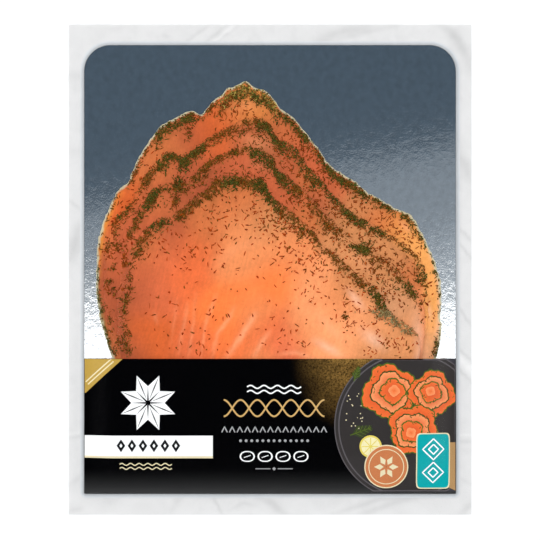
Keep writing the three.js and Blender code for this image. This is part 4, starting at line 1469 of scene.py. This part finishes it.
@dataclass
class FlapPrint:
    """The flap's print, as thin layers of ink that lie on the board: fields of colour and simple
    shapes, with no lettering."""

    card: Card
    cell: float = 0.95
    arc: float = 0.9
    sink: float = 0.05
    clear: float = 0.04
    layer: float = 0.012
    shapes: list[Skin] = field(default_factory=list)

    def add(self, x: Array, y: Array, ink: Ink, level: int, tones: Array | None = None) -> None:
        """Lays a grid of places on the flap as a closed layer of ink.

        Args:
            x: the grid's x in mm, rows by columns.
            y: its y in mm.
            ink: the colour.
            level: how many layers up it lies.
            tones: linear colours in place of the ink's, rows by columns by 3.
        """
        y = np.clip(y, self.card.fold_start + 0.4, self.card.flap_edge - 0.15)
        x = np.clip(x, 0.2 - self.card.width / 2, self.card.width / 2 - 0.2)
        skin = sheet_skin(self.card.on_flap(x, y, self.clear + level * self.layer),
                          self.card.on_flap(x, y, -self.sink))
        if tones is None:
            skin.tone = np.broadcast_to(linear(ink.value), skin.points.shape).copy()
        else:
            skin.tone = np.concatenate([tones.reshape(-1, 3)] * 2)
        self.shapes.append(skin)

    def patch(self, corners: Sequence[tuple[float, float]], ink: Ink, level: int) -> None:
        """A four-cornered field: each place is the corners' mean, weighted along both sides."""
        a, b, c, d = (np.array(corner, float) for corner in corners)
        rows = 2 + int(max(np.linalg.norm(d - a), np.linalg.norm(c - b)) / self.cell)
        columns = 2 + int(max(np.linalg.norm(b - a), np.linalg.norm(c - d)) / self.cell)
        v, u = np.meshgrid(np.linspace(0, 1, rows), np.linspace(0, 1, columns), indexing="ij")
        u, v = u[..., None], v[..., None]
        place = (1 - v) * ((1 - u) * a + u * b) + v * ((1 - u) * d + u * c)
        self.add(place[..., 0], place[..., 1], ink, level)

    def line(self, x: Array, y: Array, width: float | Array, ink: Ink, level: int) -> None:
        """A drawn line: its path moved to both sides by half its width, across its own direction."""
        dx, dy = np.gradient(x), np.gradient(y)
        size = np.hypot(dx, dy)
        side = np.linspace(-0.5, 0.5, 3)[:, None] * width
        self.add(x - side * dy / size, y + side * dx / size, ink, level)

    def disc(self, x: float, y: float, radius: Callable[[Array], Array] | float, ink: Ink,
             level: int, hole: float = 0.02, inner: Ink | None = None) -> None:
        """A round field or a ring: rings of points from a hole's edge out to the radius at each
        bearing, which stops at the flap's border.

        Args:
            x: the centre's x in mm.
            y: the centre's y in mm.
            radius: the radius in mm, or a function of the bearing in radians.
            ink: the colour.
            level: how many layers up it lies.
            hole: the share of the radius that is left open in the middle.
            inner: a colour at the hole, which blends into the other outwards.
        """
        widest = float(radius(np.linspace(0, math.tau, 60)).max()) if callable(radius) else radius
        turn = np.linspace(0, math.tau, 1 + int(np.clip(math.tau * widest / self.arc, 24, 300)))
        reach = radius(turn) if callable(radius) else np.full(turn.shape, float(radius))
        half = self.card.width / 2 - 0.2
        cos, sin = np.cos(turn), np.sin(turn)
        with np.errstate(divide="ignore"):
            side = np.where(cos > 0, half - x, -half - x) / np.where(cos == 0, 1e-9, cos)
            low, high = self.card.fold_start + 0.4, self.card.flap_edge - 0.15
            end = np.where(sin > 0, high - y, low - y) / np.where(np.abs(sin) < 1e-9, 1e-9, sin)
        reach = np.minimum(reach, np.minimum(np.abs(side), np.abs(end)))
        rings = 3 + int(reach.max() * (1 - hole) / self.cell)
        part = np.linspace(hole, 1, rings)[:, None]
        tones = None
        if inner is not None:
            blend = np.linspace(0, 1, rings)[:, None, None] * np.ones((1, len(turn), 1))
            tones = (1 - blend) * linear(inner.value) + blend * linear(ink.value)
        self.add(x + part * reach * cos, y + part * reach * sin, ink, level, tones)

    def corner_and_band(self) -> None:
        """The gold corner, the star, and the white band with its diamonds and gold edge."""
        self.patch([(-99.8, -48.1), (-79.2, -48.1), (-99.2, -66.4), (-99.8, -66.4)], Ink.GOLD, 1)
        t = np.linspace(0.16, 0.84, 12)
        for offset in (2.2, 4.0):
            start, stop = np.array([-99.8, -66.4]), np.array([-79.2, -48.1])
            place = start + (stop - start) * t[:, None] + offset * np.array([-0.66, 0.75])
            self.line(place[:, 0], place[:, 1], 0.7, Ink.CREAM, 2)
        for petal in range(8):
            turn = math.radians(22.5 + 45 * petal)
            for side in (-1, 1):
                corners = []
                for reach, bearing in ((1.2, 0), (9.0, 22.5), (15.8, 0), (9.0, 2.0)):
                    angle = turn + side * math.radians(bearing)
                    corners.append((-65.5 + reach * math.cos(angle), -71.6 + reach * math.sin(angle)))
                self.patch(corners, Ink.WHITE, 1)
        self.patch([(-99.8, -89.2), (-30.7, -89.2), (-30.7, -101.3), (-99.8, -101.3)], Ink.WHITE, 1)
        self.patch([(-99.8, -100.2), (-30.7, -100.2), (-30.7, -101.3), (-99.8, -101.3)], Ink.CREAM, 2)
        for step in range(6):
            x = -80.0 + 5.9 * step
            self.patch([(x, -91.2), (x + 2.3, -94.6), (x, -98.0), (x - 2.3, -94.6)], Ink.BLACK, 3)
            self.patch([(x, -93.4), (x + 0.8, -94.6), (x, -95.8), (x - 0.8, -94.6)], Ink.WHITE, 4)
        t = np.linspace(-14, 14, 60)
        for drop in (0, 2.2):
            self.line(-66.8 + t, -104.6 - drop + 0.55 * np.sin(t * 1.35), 0.55, Ink.CREAM, 1)

    def title_column(self) -> None:
        """The middle column: waves, a gold braid, a zigzag, dots, four small slices and a rule."""
        middle = 2.2
        t = np.linspace(-14.5, 14.5, 80)
        for drop in (0.0, 2.7):
            self.line(middle + t, -63.0 - drop + 0.8 * np.sin(t * 0.87), 0.75, Ink.WHITE, 1)
        t = np.linspace(-27, 27, 150)
        for level, side in ((1, -1), (2, 1)):
            self.line(middle + t, -74.4 + side * 4.4 * np.cos(t * math.tau / 18), 0.9,
                      Ink.PALE_GOLD, level)
        for step in range(14):
            x = middle - 26.6 + 4.1 * step
            t = np.linspace(-1, 1, 9)
            self.line(x + 1.5 * t, -87.4 + 3.0 * (1 - np.abs(t)), 0.6, Ink.SILVER, 1)
        for step in range(13):
            self.disc(middle - 18 + 3 * step, -91.9, 0.75, Ink.SILVER, 1)
        for step in range(4):
            x = middle - 14.4 + 9.6 * step
            self.disc(x, -100.3, lambda turn: 2.9 + 1.2 * np.abs(np.cos(turn)) ** 2, Ink.WHITE, 1, 0.8)
            t = np.linspace(-1, 1, 9)
            self.line(x + 1.8 * t, -100.3 + 0.6 * t, 0.4, Ink.WHITE, 1)
        t = np.linspace(0, 1, 9)
        for start, stop in ((-10, -2), (2, 10)):
            self.line(middle + start + (stop - start) * t, np.full(9, -107.0), 0.45, Ink.SILVER, 1)
        self.patch([(middle, -106), (middle + 1, -107), (middle, -108), (middle - 1, -107)],
                   Ink.SILVER, 1)

    def rosette(self, x: float, y: float, size: float, phase: float, level: int) -> None:
        """A rolled slice seen from above: ruffled fields, each smaller, with green rims between them.

        Args:
            x: the centre's x in mm.
            y: the centre's y in mm.
            size: the outer radius in mm.
            phase: turns the ruffles.
            level: the lowest of its layers.
        """
        fields = (
            (1.0, 0.8, Ink.LEAF, None), (0.95, 0.5, Ink.SALMON, Ink.DEEP_SALMON),
            (0.72, 0.7, Ink.DARK_LEAF, None), (0.67, 0.4, Ink.PALE_SALMON, Ink.DEEP_SALMON),
            (0.46, 0.6, Ink.LEAF, None), (0.41, 0.2, Ink.SALMON, Ink.DEEP_SALMON),
            (0.2, 0.02, Ink.PALE_SALMON, Ink.SALMON))
        draw = np.random.default_rng(round(10 * size))
        for step, (share, hole, ink, inner) in enumerate(fields):
            turned = phase + 0.55 * (step // 2)

            def ruffle(turn: Array, share: float = share, turned: float = turned) -> Array:
                """The radius: a round with four soft lobes and two finer waves."""
                wave = 0.09 * np.sin(4 * turn + turned) + 0.04 * np.sin(9 * turn + 2 * turned)
                return size * share * (1 + wave + 0.02 * np.sin(23 * turn + turned))

            drift = 0.05 * size * (step // 2)
            middle_x, middle_y = x + drift * math.cos(phase), y + drift * math.sin(phase)
            self.disc(middle_x, middle_y, ruffle, ink, level + step, hole, inner)
            if ink in (Ink.LEAF, Ink.DARK_LEAF):
                turn = draw.uniform(0, math.tau, round(40 * share))
                away = ruffle(turn) - np.abs(draw.normal(0, 0.06 * size, len(turn)))
                heading = draw.uniform(0, math.tau, len(turn))
                reach = draw.uniform(0.35, 0.9, len(turn))
                along = np.linspace(-1, 1, 4)
                for i in range(len(turn)):
                    leaf_x = middle_x + away[i] * math.cos(turn[i]) + reach[i] * along * math.cos(heading[i])
                    leaf_y = middle_y + away[i] * math.sin(turn[i]) + reach[i] * along * math.sin(heading[i])
                    self.line(leaf_x, leaf_y, 0.4, (Ink.LEAF, Ink.DARK_LEAF)[i % 2], level + step + 1.5)

    def sprig(self, x: float, y: float, size: float, heading: float) -> None:
        """A sprig of dill: a stem with pairs of fine leaves that grow shorter towards its tip."""
        cos, sin = math.cos(heading), math.sin(heading)
        t = np.linspace(0, 1, 16)
        self.line(x + size * t * cos, y + size * t * sin, 0.5, Ink.LEAF, 5)
        for step in range(9):
            along = size * (0.15 + 0.1 * step)
            reach = size * (0.42 - 0.035 * step)
            for side in (-1, 1):
                turn = heading + side * 0.75
                start = x + along * cos, y + along * sin
                self.line(start[0] + reach * t * math.cos(turn), start[1] + reach * t * math.sin(turn),
                          0.45, Ink.LEAF if step % 2 else Ink.DARK_LEAF, 4)

    def serving(self) -> None:
        """The right end: a slate plate with rolled slices, a sprig, half a lemon slice and seeds."""
        self.patch([(70, -48.1), (99.8, -48.1), (99.8, -120), (70, -120)], Ink.RIM_DARK, 1)
        self.disc(75.2, -83.8, 40.7, Ink.SLATE, 2)
        self.disc(75.2, -83.8, 40.7, Ink.RIM_LIGHT, 3, 0.986)
        self.disc(75.2, -83.8, 38.6, Ink.RIM_LIGHT, 3, 0.982)
        self.rosette(64.5, -66, 15.0, 0.4, 4)
        self.rosette(87, -67, 12.5, 2.1, 8)
        self.rosette(77, -86, 13.5, 4.0, 12)
        self.sprig(43, -89, 12, math.radians(20))
        self.sprig(45, -60, 8, math.radians(70))
        self.disc(54, -95, 6.0, Ink.LEMON, 6)
        self.disc(54, -95, 5.0, Ink.LEMON_FLESH, 7)
        self.patch([(95.5, -93), (99.8, -93), (99.8, -119), (95.5, -117)], Ink.CRISP, 19)
        for spoke in range(4):
            turn = math.pi * spoke / 4
            t = np.linspace(-4.6, 4.6, 10)
            self.line(54 + t * math.cos(turn), -95 + t * math.sin(turn), 0.5, Ink.LEMON, 8)
        draw = np.random.default_rng(3)
        for _ in range(20):
            x, y = draw.uniform(40, 50), draw.uniform(-86, -64)
            self.disc(x, y, draw.uniform(0.25, 0.4), Ink.CREAM, 4)

    def badges(self) -> None:
        """A round field with a ring of petals and a teal field with lozenges, both plain."""
        self.disc(62.5, -105.9, 11.8, Ink.CREAM, 20, 0.88)
        self.disc(62.5, -105.9, 11.2, Ink.BADGE, 21)
        self.disc(62.5, -105.9, 9.6, Ink.CREAM, 22, 0.955)
        for petal in range(6):
            turn = math.tau * petal / 6
            corners = []
            for reach, side in ((1.4, 0), (3.8, 0.42), (6.6, 0), (3.8, -0.42)):
                corners.append((62.5 + reach * math.cos(turn + side), -105.9 + reach * math.sin(turn + side)))
            self.patch(corners, Ink.CREAM, 22)
        for shrink, ink, level, hole in ((0.0, Ink.CREAM, 20, 0.86), (0.6, Ink.TEAL, 21, 0.02)):

            def panel(turn: Array, shrink: float = shrink) -> Array:
                """The radius of an upright rectangle with rounded corners: a superellipse."""
                across = np.abs(np.cos(turn)) / (9.1 - shrink)
                along = np.abs(np.sin(turn)) / (15.1 - shrink)
                return (across ** 12 + along ** 12) ** (-1 / 12)

            self.disc(87.6, -102.9, panel, ink, level, hole)
        for middle, half in ((-96.5, 5.6), (-96.5, 2.6), (-109.0, 5.6), (-109.0, 2.6)):
            x = 87.6 + half * np.array([0, 1, 0, -1, 0.0])
            y = middle + half * np.array([1, 0, -1, 0, 1.0])
            fine = np.linspace(0, 4, 41)
            self.line(np.interp(fine, range(5), x), np.interp(fine, range(5), y), 0.7,
                      Ink.WHITE, 22)

    def build(self) -> bpy.types.Object:
        """Builds the whole print as one piece.

        Returns:
            The piece.
        """
        self.corner_and_band()
        self.title_column()
        self.serving()
        self.badges()
        piece = make_piece("flap_print", joined(self.shapes), [PrintingInk().material()])
        return settle(piece, "print")


# Pouch

# Creases of the margin, painted as shade where the strength is positive and as highlight where it is negative.
CREASE_SHADING = (
    Stroke(((-110.4, 105.9), (-99.2, 103.3)), 2.7, 0.08),
    Stroke(((-110.4, 62.3), (-99.2, 64.9)), 2.5, 0.05),
    Stroke(((-109, 37.7), (-99.6, 30.8)), 1, 0.1),
    Stroke(((-109.3, 1.3), (-105.1, 13.2), (-99.5, 29.3)), 4.4, 0.15),
    Stroke(((-110.8, -89), (-97.8, -87.3)), 0.7, -0.07),
    Stroke(((-110.8, -91.1), (-97.8, -89.4)), 0.9, 0.1),
    Stroke(((-110.4, -116.7), (-99.2, -110.7)), 1.4, 0.08),
    Stroke(((-110.8, -130.5), (-100.5, -128.8)), 1.4, 0.1),
    Stroke(((98.6, 126.7), (103.5, 118.3), (109.8, 107.1)), 3, 0.13),
    Stroke(((99.1, 65.1), (104, 57.4), (110.3, 44.1)), 3.8, 0.15),
    Stroke(((97.7, 25.9), (111.5, 12.9)), 1, 0.13),
    Stroke(((97.7, 19), (111.5, 2.6)), 0.9, 0.13),
    Stroke(((97.7, -15), (111.5, -34)), 1, 0.13),
    Stroke(((97.7, -39.5), (111.5, -51.6)), 0.9, 0.13),
    Stroke(((97.7, -44.2), (111.5, -57.1)), 2.4, -0.15),
    Stroke(((97.7, -49.3), (111.5, -63.9)), 0.9, 0.12),
    Stroke(((96.8, -89.2), (112.3, -89.2)), 0.6, -0.1),
    Stroke(((96.8, -92.7), (112.3, -92.7)), 1.2, 0.12),
    Stroke(((97.7, -109.8), (111.5, -117.6)), 1, 0.06),
    Stroke(((-58.6, 126.3), (-53.5, 125.4)), 1.2, 0.07),
    Stroke(((-49, 119.9), (-29.2, 134.5)), 0.9, 0.11),
    Stroke(((-37.7, 120), (-20.5, 133.8)), 0.9, 0.12),
    Stroke(((-34.1, 120), (-16, 133.8)), 0.9, -0.1),
    Stroke(((-31.3, 119.9), (-14, 134.5)), 0.8, 0.08),
    Stroke(((18.1, 120.3), (37.7, 128), (60.2, 132.2)), 2.5, 0.13),
    Stroke(((30.2, 122.6), (51.2, 127.5), (72.2, 132.4)), 1.5, 0.08),
    Stroke(((89.7, 133.1), (98.1, 127.5), (105.1, 119.1)), 2.6, 0.13),
    Stroke(((-92.1, -123.9), (-80.9, -125.6)), 2.6, 0.06),
    Stroke(((-47.2, -120.5), (-54.1, -131.7)), 1.8, 0.07),
    Stroke(((-32.9, -118.5), (-24.3, -134.9)), 1, 0.15),
    Stroke(((-22.3, -130.1), (-14.6, -125.9), (-8.2, -127.3)), 1, 0.09),
    Stroke(((-9.4, -121), (1.1, -125.9), (9.5, -133.6)), 2.2, 0.15),
    Stroke(((27.1, -134.2), (59.3, -123.7), (90.8, -120.9)), 1.4, 0.13),
    Stroke(((46.1, -133.6), (65.8, -125.9), (88.2, -121)), 1.6, 0.13),
    Stroke(((99.8, -134.3), (111, -123.9)), 1.8, 0.13),
)


@dataclass
class Pouch:
    """The vacuum pouch: a back sheet with a welded margin, and a front film that lies on what is in
    the pouch."""

    card: Card
    pile: Pile
    width: float = 217.0
    length: float = 264.0
    margin_height: float = 0.3
    lip_height: float = 1.0
    lip_reach: float = 3.5
    film: float = 0.09
    cell: float = 1.5
    slope: float = 0.7
    creases: tuple[Stroke, ...] = CREASE_SHADING

    def distance(self, x: Array, y: Array) -> Array:
        """The distance outwards from the card's outline: that of a rectangle with rounded corners."""
        radius = np.where(y > 0, self.card.corner, 1.0)
        dx = np.abs(x) - self.card.width / 2 + radius
        dy = np.abs(y) - self.card.end + radius
        outside = np.hypot(np.maximum(dx, 0), np.maximum(dy, 0))
        return outside + np.minimum(np.maximum(dx, dy), 0) - radius

    def card_loop(self, margin: float) -> Array:
        """The card's outline moved out by a margin, as places two by two."""
        half_x, half_y = self.card.width / 2 + margin, self.card.end + margin
        parts = []
        corners = (
            (1, 1, self.card.corner + margin, 0), (-1, 1, self.card.corner + margin, 90),
            (-1, -1, 1 + margin, 180), (1, -1, 1 + margin, 270))
        for sign_x, sign_y, radius, start in corners:
            turn = np.radians(start + np.linspace(0, 90, 17))
            parts.append(np.stack([
                sign_x * (half_x - radius) + radius * np.cos(turn),
                sign_y * (half_y - radius) + radius * np.sin(turn)], axis=-1))
        loop = np.concatenate([*parts, parts[0][:1]])
        run = np.concatenate([[0], np.cumsum(np.hypot(*np.diff(loop, axis=0).T))])
        even = np.union1d(run[:-1], np.arange(0, run[-1], 1.2))
        count = 900
        even = np.interp(np.linspace(0, len(even) - 1, count), range(len(even)), even)
        return np.stack([np.interp(even, run, loop[:, i]) for i in (0, 1)], axis=-1)

    def sheets(self) -> Skin:
        """The back sheet and margin: loops from under the card, up to the lip beside it, down the lip's
        slope and out to the border, and back under. Beside the card the grey darkens as a painted
        shadow of its edge; further out, soft creases are painted as shade where they darken the margin
        and as highlight where they brighten it.

        Returns:
            The body, with a grey for each point and the finish for each face.
        """
        steps = ((0.08, 0.3), (0.16, 1.0), (0.7, 0.93), (1.2, 0.8), (1.9, 0.6), (2.7, 0.42), (3.5, 0.3))
        base = self.card_loop(self.lip_reach)
        loops, away = [], []
        for margin, height in steps:
            place = self.card_loop(margin)
            loops.append(np.concatenate([place, np.full((len(place), 1), height)], axis=1))
            away.append(margin)
        grow = np.minimum(self.width / 2 / np.maximum(np.abs(base[:, 0]), 1e-6),
                          self.length / 2 / np.maximum(np.abs(base[:, 1]), 1e-6))
        for part in np.linspace(0, 1, 15)[1:]:
            place = base * (1 + part * (grow - 1))[:, None]
            loops.append(np.concatenate(
                [place, np.full((len(place), 1), self.margin_height)], axis=1))
            away.append(self.lip_reach + 4 * part)
        loops.append(loops[-1] * (1, 1, 0))
        away.append(away[-1])
        loops = np.array(loops)
        skin = loop_skin(np.array([0, 0, 0.3]), loops, np.zeros(3))
        # Painted shadow of the card's edge: the margin's grey darkens towards the card and is cooler within 2.2
        # mm of it.
        grey = np.interp(away, (0.3, 0.9, 1.4, 1.9, 2.7, 3.5), (0.5, 0.6, 0.66, 0.77, 0.82, 0.845))
        shadow_blue, warm = np.array([0.97, 1.0, 1.03]), np.array([1.014, 1.0, 0.988])
        ring_tones_with_shadow = grey[:, None] * np.where(np.array(away)[:, None] < 2.2, shadow_blue, warm)
        # Painted shade and highlight of the creases, kept off the band beside the card.
        shade = 1 - sum(crease.weight(loops[..., 0], loops[..., 1]) for crease in self.creases)
        shade = np.where(np.array(away)[:, None] < 2.2, 1, shade)
        tone = (ring_tones_with_shadow[:, None] * shade[..., None]).reshape(-1, 3)
        skin.tone = np.concatenate([tone[:1], tone, tone[-1:]])
        quad_ring = np.repeat(np.arange(len(loops) - 1), loops.shape[1])
        skin.finish = np.concatenate([
            (quad_ring >= 0).astype(int), np.zeros(len(skin.tris), int)])
        return skin

    def drape(self) -> tuple[Array, Array, Array]:
        """Lays the front film over the contents. Its height is at least theirs, falls away from them no
        faster than the slope, and is then smoothed twice over its neighbours.

        Returns:
            x, y and the height under the film in mm, rows by columns.
        """
        columns = round(self.width / self.cell) + 1
        rows = round(self.length / self.cell) + 1
        x, y = np.meshgrid(np.linspace(-self.width / 2, self.width / 2, columns),
                           np.linspace(-self.length / 2, self.length / 2, rows))
        contents = np.full(x.shape, self.margin_height)
        for dx in (-0.75, 0, 0.75):
            for dy in (-0.75, 0, 0.75):
                contents = np.maximum(contents, self.contents(x + dx, y + dy))
        height = contents.copy()
        for _ in range(14):
            wide = np.pad(height, 1, mode="edge")
            straight = [wide[:-2, 1:-1], wide[2:, 1:-1], wide[1:-1, :-2], wide[1:-1, 2:]]
            height = np.maximum(height, np.max(straight, axis=0) - self.slope * self.cell)
        for _ in range(2):
            wide = np.pad(height, 1, mode="edge")
            shifts = [wide[i:i + rows, j:j + columns] for i in range(3) for j in range(3)]
            height = np.maximum(np.mean(shifts, axis=0), contents)
        return x, y, height + 0.03

    def contents(self, x: Array, y: Array) -> Array:
        """The height of what the film lies on: the lip, the card, the slices with dill, the flap."""
        away = self.distance(x, y)
        lip = self.margin_height + 0.7 * np.clip(1 - away / self.lip_reach, 0, 1) ** 1.3
        height = np.where(away <= 0.4, self.lip_height, lip)
        pile = self.pile.surface(x, y)
        height = np.where((away < 0) & (pile > 1.01), pile + 0.6, height)
        flap_top = 2.2 + self.card.rise(x, y) + 0.42
        on_flap = (away < 0.3) & (y < self.card.flap_edge + 0.3)
        return np.where(on_flap, np.maximum(height * (y > self.card.flap_edge), flap_top), height)

    def build(self) -> list[bpy.types.Object]:
        """Builds the sheets and the front film.

        Returns:
            The two pieces.
        """
        clear = ClearFilm().material()
        sheets = make_piece("pouch_sheets", self.sheets(), [clear, WeldedFilm().material()])
        settle(sheets, "film", "pouch")
        x, y, height = self.drape()
        film = sheet_skin(np.stack([x, y, height + self.film], axis=-1),
                          np.stack([x, y, height], axis=-1))
        front = make_piece("pouch_front_film", film, [clear])
        return [sheets, settle(front, "film")]


# Studio

@dataclass(frozen=True)
class Panel:
    """A white panel overhead that only the foil mirrors.

    Its upper edge crosses the pack's middle at the place called edge, in mm, and rises to the right
    by the tilt in degrees. Its height and size are in metres.
    """

    name: str
    edge: float
    height: float
    radiance: float
    tilt: float
    size: tuple[float, float] = (0.7, 0.4)
    tint: tuple[float, float, float] = (1.0, 1.0, 1.0)

    def build(self, lit: bpy.types.Collection) -> bpy.types.Object:
        """Makes the panel as a soft light: its power is its radiance times pi times its area.

        Args:
            lit: the collection of what it lights.
        Returns:
            The light's object.
        """
        area = bpy.data.lights.new(self.name, "AREA")
        area.shape = "RECTANGLE"
        area.size, area.size_y = self.size
        area.energy = self.radiance * math.pi * area.size * area.size_y
        area.color = self.tint
        panel = bpy.data.objects.new(self.name, area)
        turn = math.radians(self.tilt)
        half = area.size_y / 2
        seen_from = 1 + self.height / 2
        panel.location = (half * math.sin(turn),
                          self.edge * METRES * seen_from - half * math.cos(turn), self.height)
        panel.rotation_euler = (0, 0, turn)
        panel.visible_camera = False
        panel.light_linking.receiver_collection = lit
        return panel


@dataclass
class Studio:
    """Floor, light and camera. The camera looks straight down from 2 m through a long lens."""

    camera_height: float = 2000.0
    view_width: float = 291.06
    view_centre: tuple[float, float] = (0.0, -0.27)
    floor_side: float = 12.0
    floor_height: float = -0.2
    zenith: tuple[float, float, float] = (0.064, 0.095, 0.128)
    surround: float = 1.3
    zenith_edge: tuple[float, float] = (0.5, 0.75)
    sun_strength: float = 2.0
    sun_angle: float = 50.0
    panels: tuple[Panel, ...] = (
        Panel("white_panel", edge=-22.0, height=0.21, radiance=1.35, tilt=0.0,
              tint=(1.02, 1.0, 0.97)),
        Panel("pale_panel", edge=-36.0, height=0.1, radiance=0.1, tilt=30.0,
              tint=(0.97, 1.0, 1.02)),
        Panel("grey_panel", edge=50.4, height=0.11, radiance=0.157, tilt=10.0,
              tint=(0.95, 1.0, 1.03)))

    def floor(self) -> None:
        """Lays the floor just under the pack."""
        half = self.floor_side / 2
        level = self.floor_height * METRES
        mesh = bpy.data.meshes.new("floor")
        corners = [(-half, -half, level), (half, -half, level), (half, half, level),
                   (-half, half, level)]
        mesh.from_pydata(corners, [], [(0, 1, 2, 3)])
        mesh.materials.append(StudioFloor().material())
        floor = bpy.data.objects.new("floor", mesh)
        bpy.context.scene.collection.objects.link(floor)

    def surroundings(self) -> None:
        """A bright room with a dark grey-blue ceiling, which the foil mirrors."""
        world = bpy.data.worlds.new("studio")
        bpy.context.scene.world = world
        world.use_nodes = True
        tree = world.node_tree
        tree.nodes.clear()
        heading = add_node(tree, "ShaderNodeTexCoord").outputs["Generated"]
        split = add_node(tree, "ShaderNodeSeparateXYZ", {0: heading})
        low, high = self.zenith_edge
        ceiling = add_node(tree, "ShaderNodeMapRange", {
            "Value": split.outputs["Z"], "From Min": low, "From Max": high},
            interpolation_type="SMOOTHSTEP")
        colour = add_node(tree, "ShaderNodeMix", {
            0: ceiling.outputs[0], 6: (self.surround,) * 3 + (1.0,),
            7: (*self.zenith, 1.0)}, data_type="RGBA")
        room = add_node(tree, "ShaderNodeBackground", {"Color": colour.outputs[2]})
        add_node(tree, "ShaderNodeOutputWorld", {"Surface": room.outputs[0]})

    def lights(self, foil: bpy.types.Object) -> None:
        """A soft light from the upper left, and the panels.

        Args:
            foil: the piece that the panels light.
        """
        sun = bpy.data.lights.new("soft_light", "SUN")
        sun.energy = self.sun_strength
        sun.angle = math.radians(self.sun_angle)
        soft = bpy.data.objects.new("soft_light", sun)
        soft.rotation_euler = (math.radians(-14), math.radians(-12), 0)
        soft.visible_glossy = False
        soft.visible_camera = False
        lit = bpy.data.collections.new("lit_by_panels")
        lit.objects.link(foil)
        for light in (soft, *(panel.build(lit) for panel in self.panels)):
            bpy.context.scene.collection.objects.link(light)

    def camera(self) -> None:
        """Makes the camera: a 36 mm sensor whose lens takes in the view's width at the floor."""
        lens = bpy.data.cameras.new("camera")
        lens.sensor_width = 36.0
        lens.lens = 36.0 * self.camera_height / self.view_width
        lens.clip_end = 50.0
        camera = bpy.data.objects.new("camera", lens)
        camera.location = (self.view_centre[0] * METRES, self.view_centre[1] * METRES,
                           self.camera_height * METRES)
        bpy.context.scene.collection.objects.link(camera)
        bpy.context.scene.camera = camera

    def build(self, foil: bpy.types.Object) -> None:
        """Sets the studio up and keeps its colours as they are rendered."""
        self.camera()
        self.floor()
        self.surroundings()
        self.lights(foil)
        bpy.context.scene.view_settings.view_transform = "Standard"


def main() -> None:
    """Builds the pack's pieces in order, then the studio."""
    logging.basicConfig(level=logging.INFO, format="%(name)s %(message)s")
    card = Card()
    pile = Pile()
    _, foil = card.build()
    pile.build()
    Dill(pile).build()
    FlapPrint(card).build()
    Pouch(card, pile).build()
    Studio().build(foil)


if __name__ == "__main__":
    main()
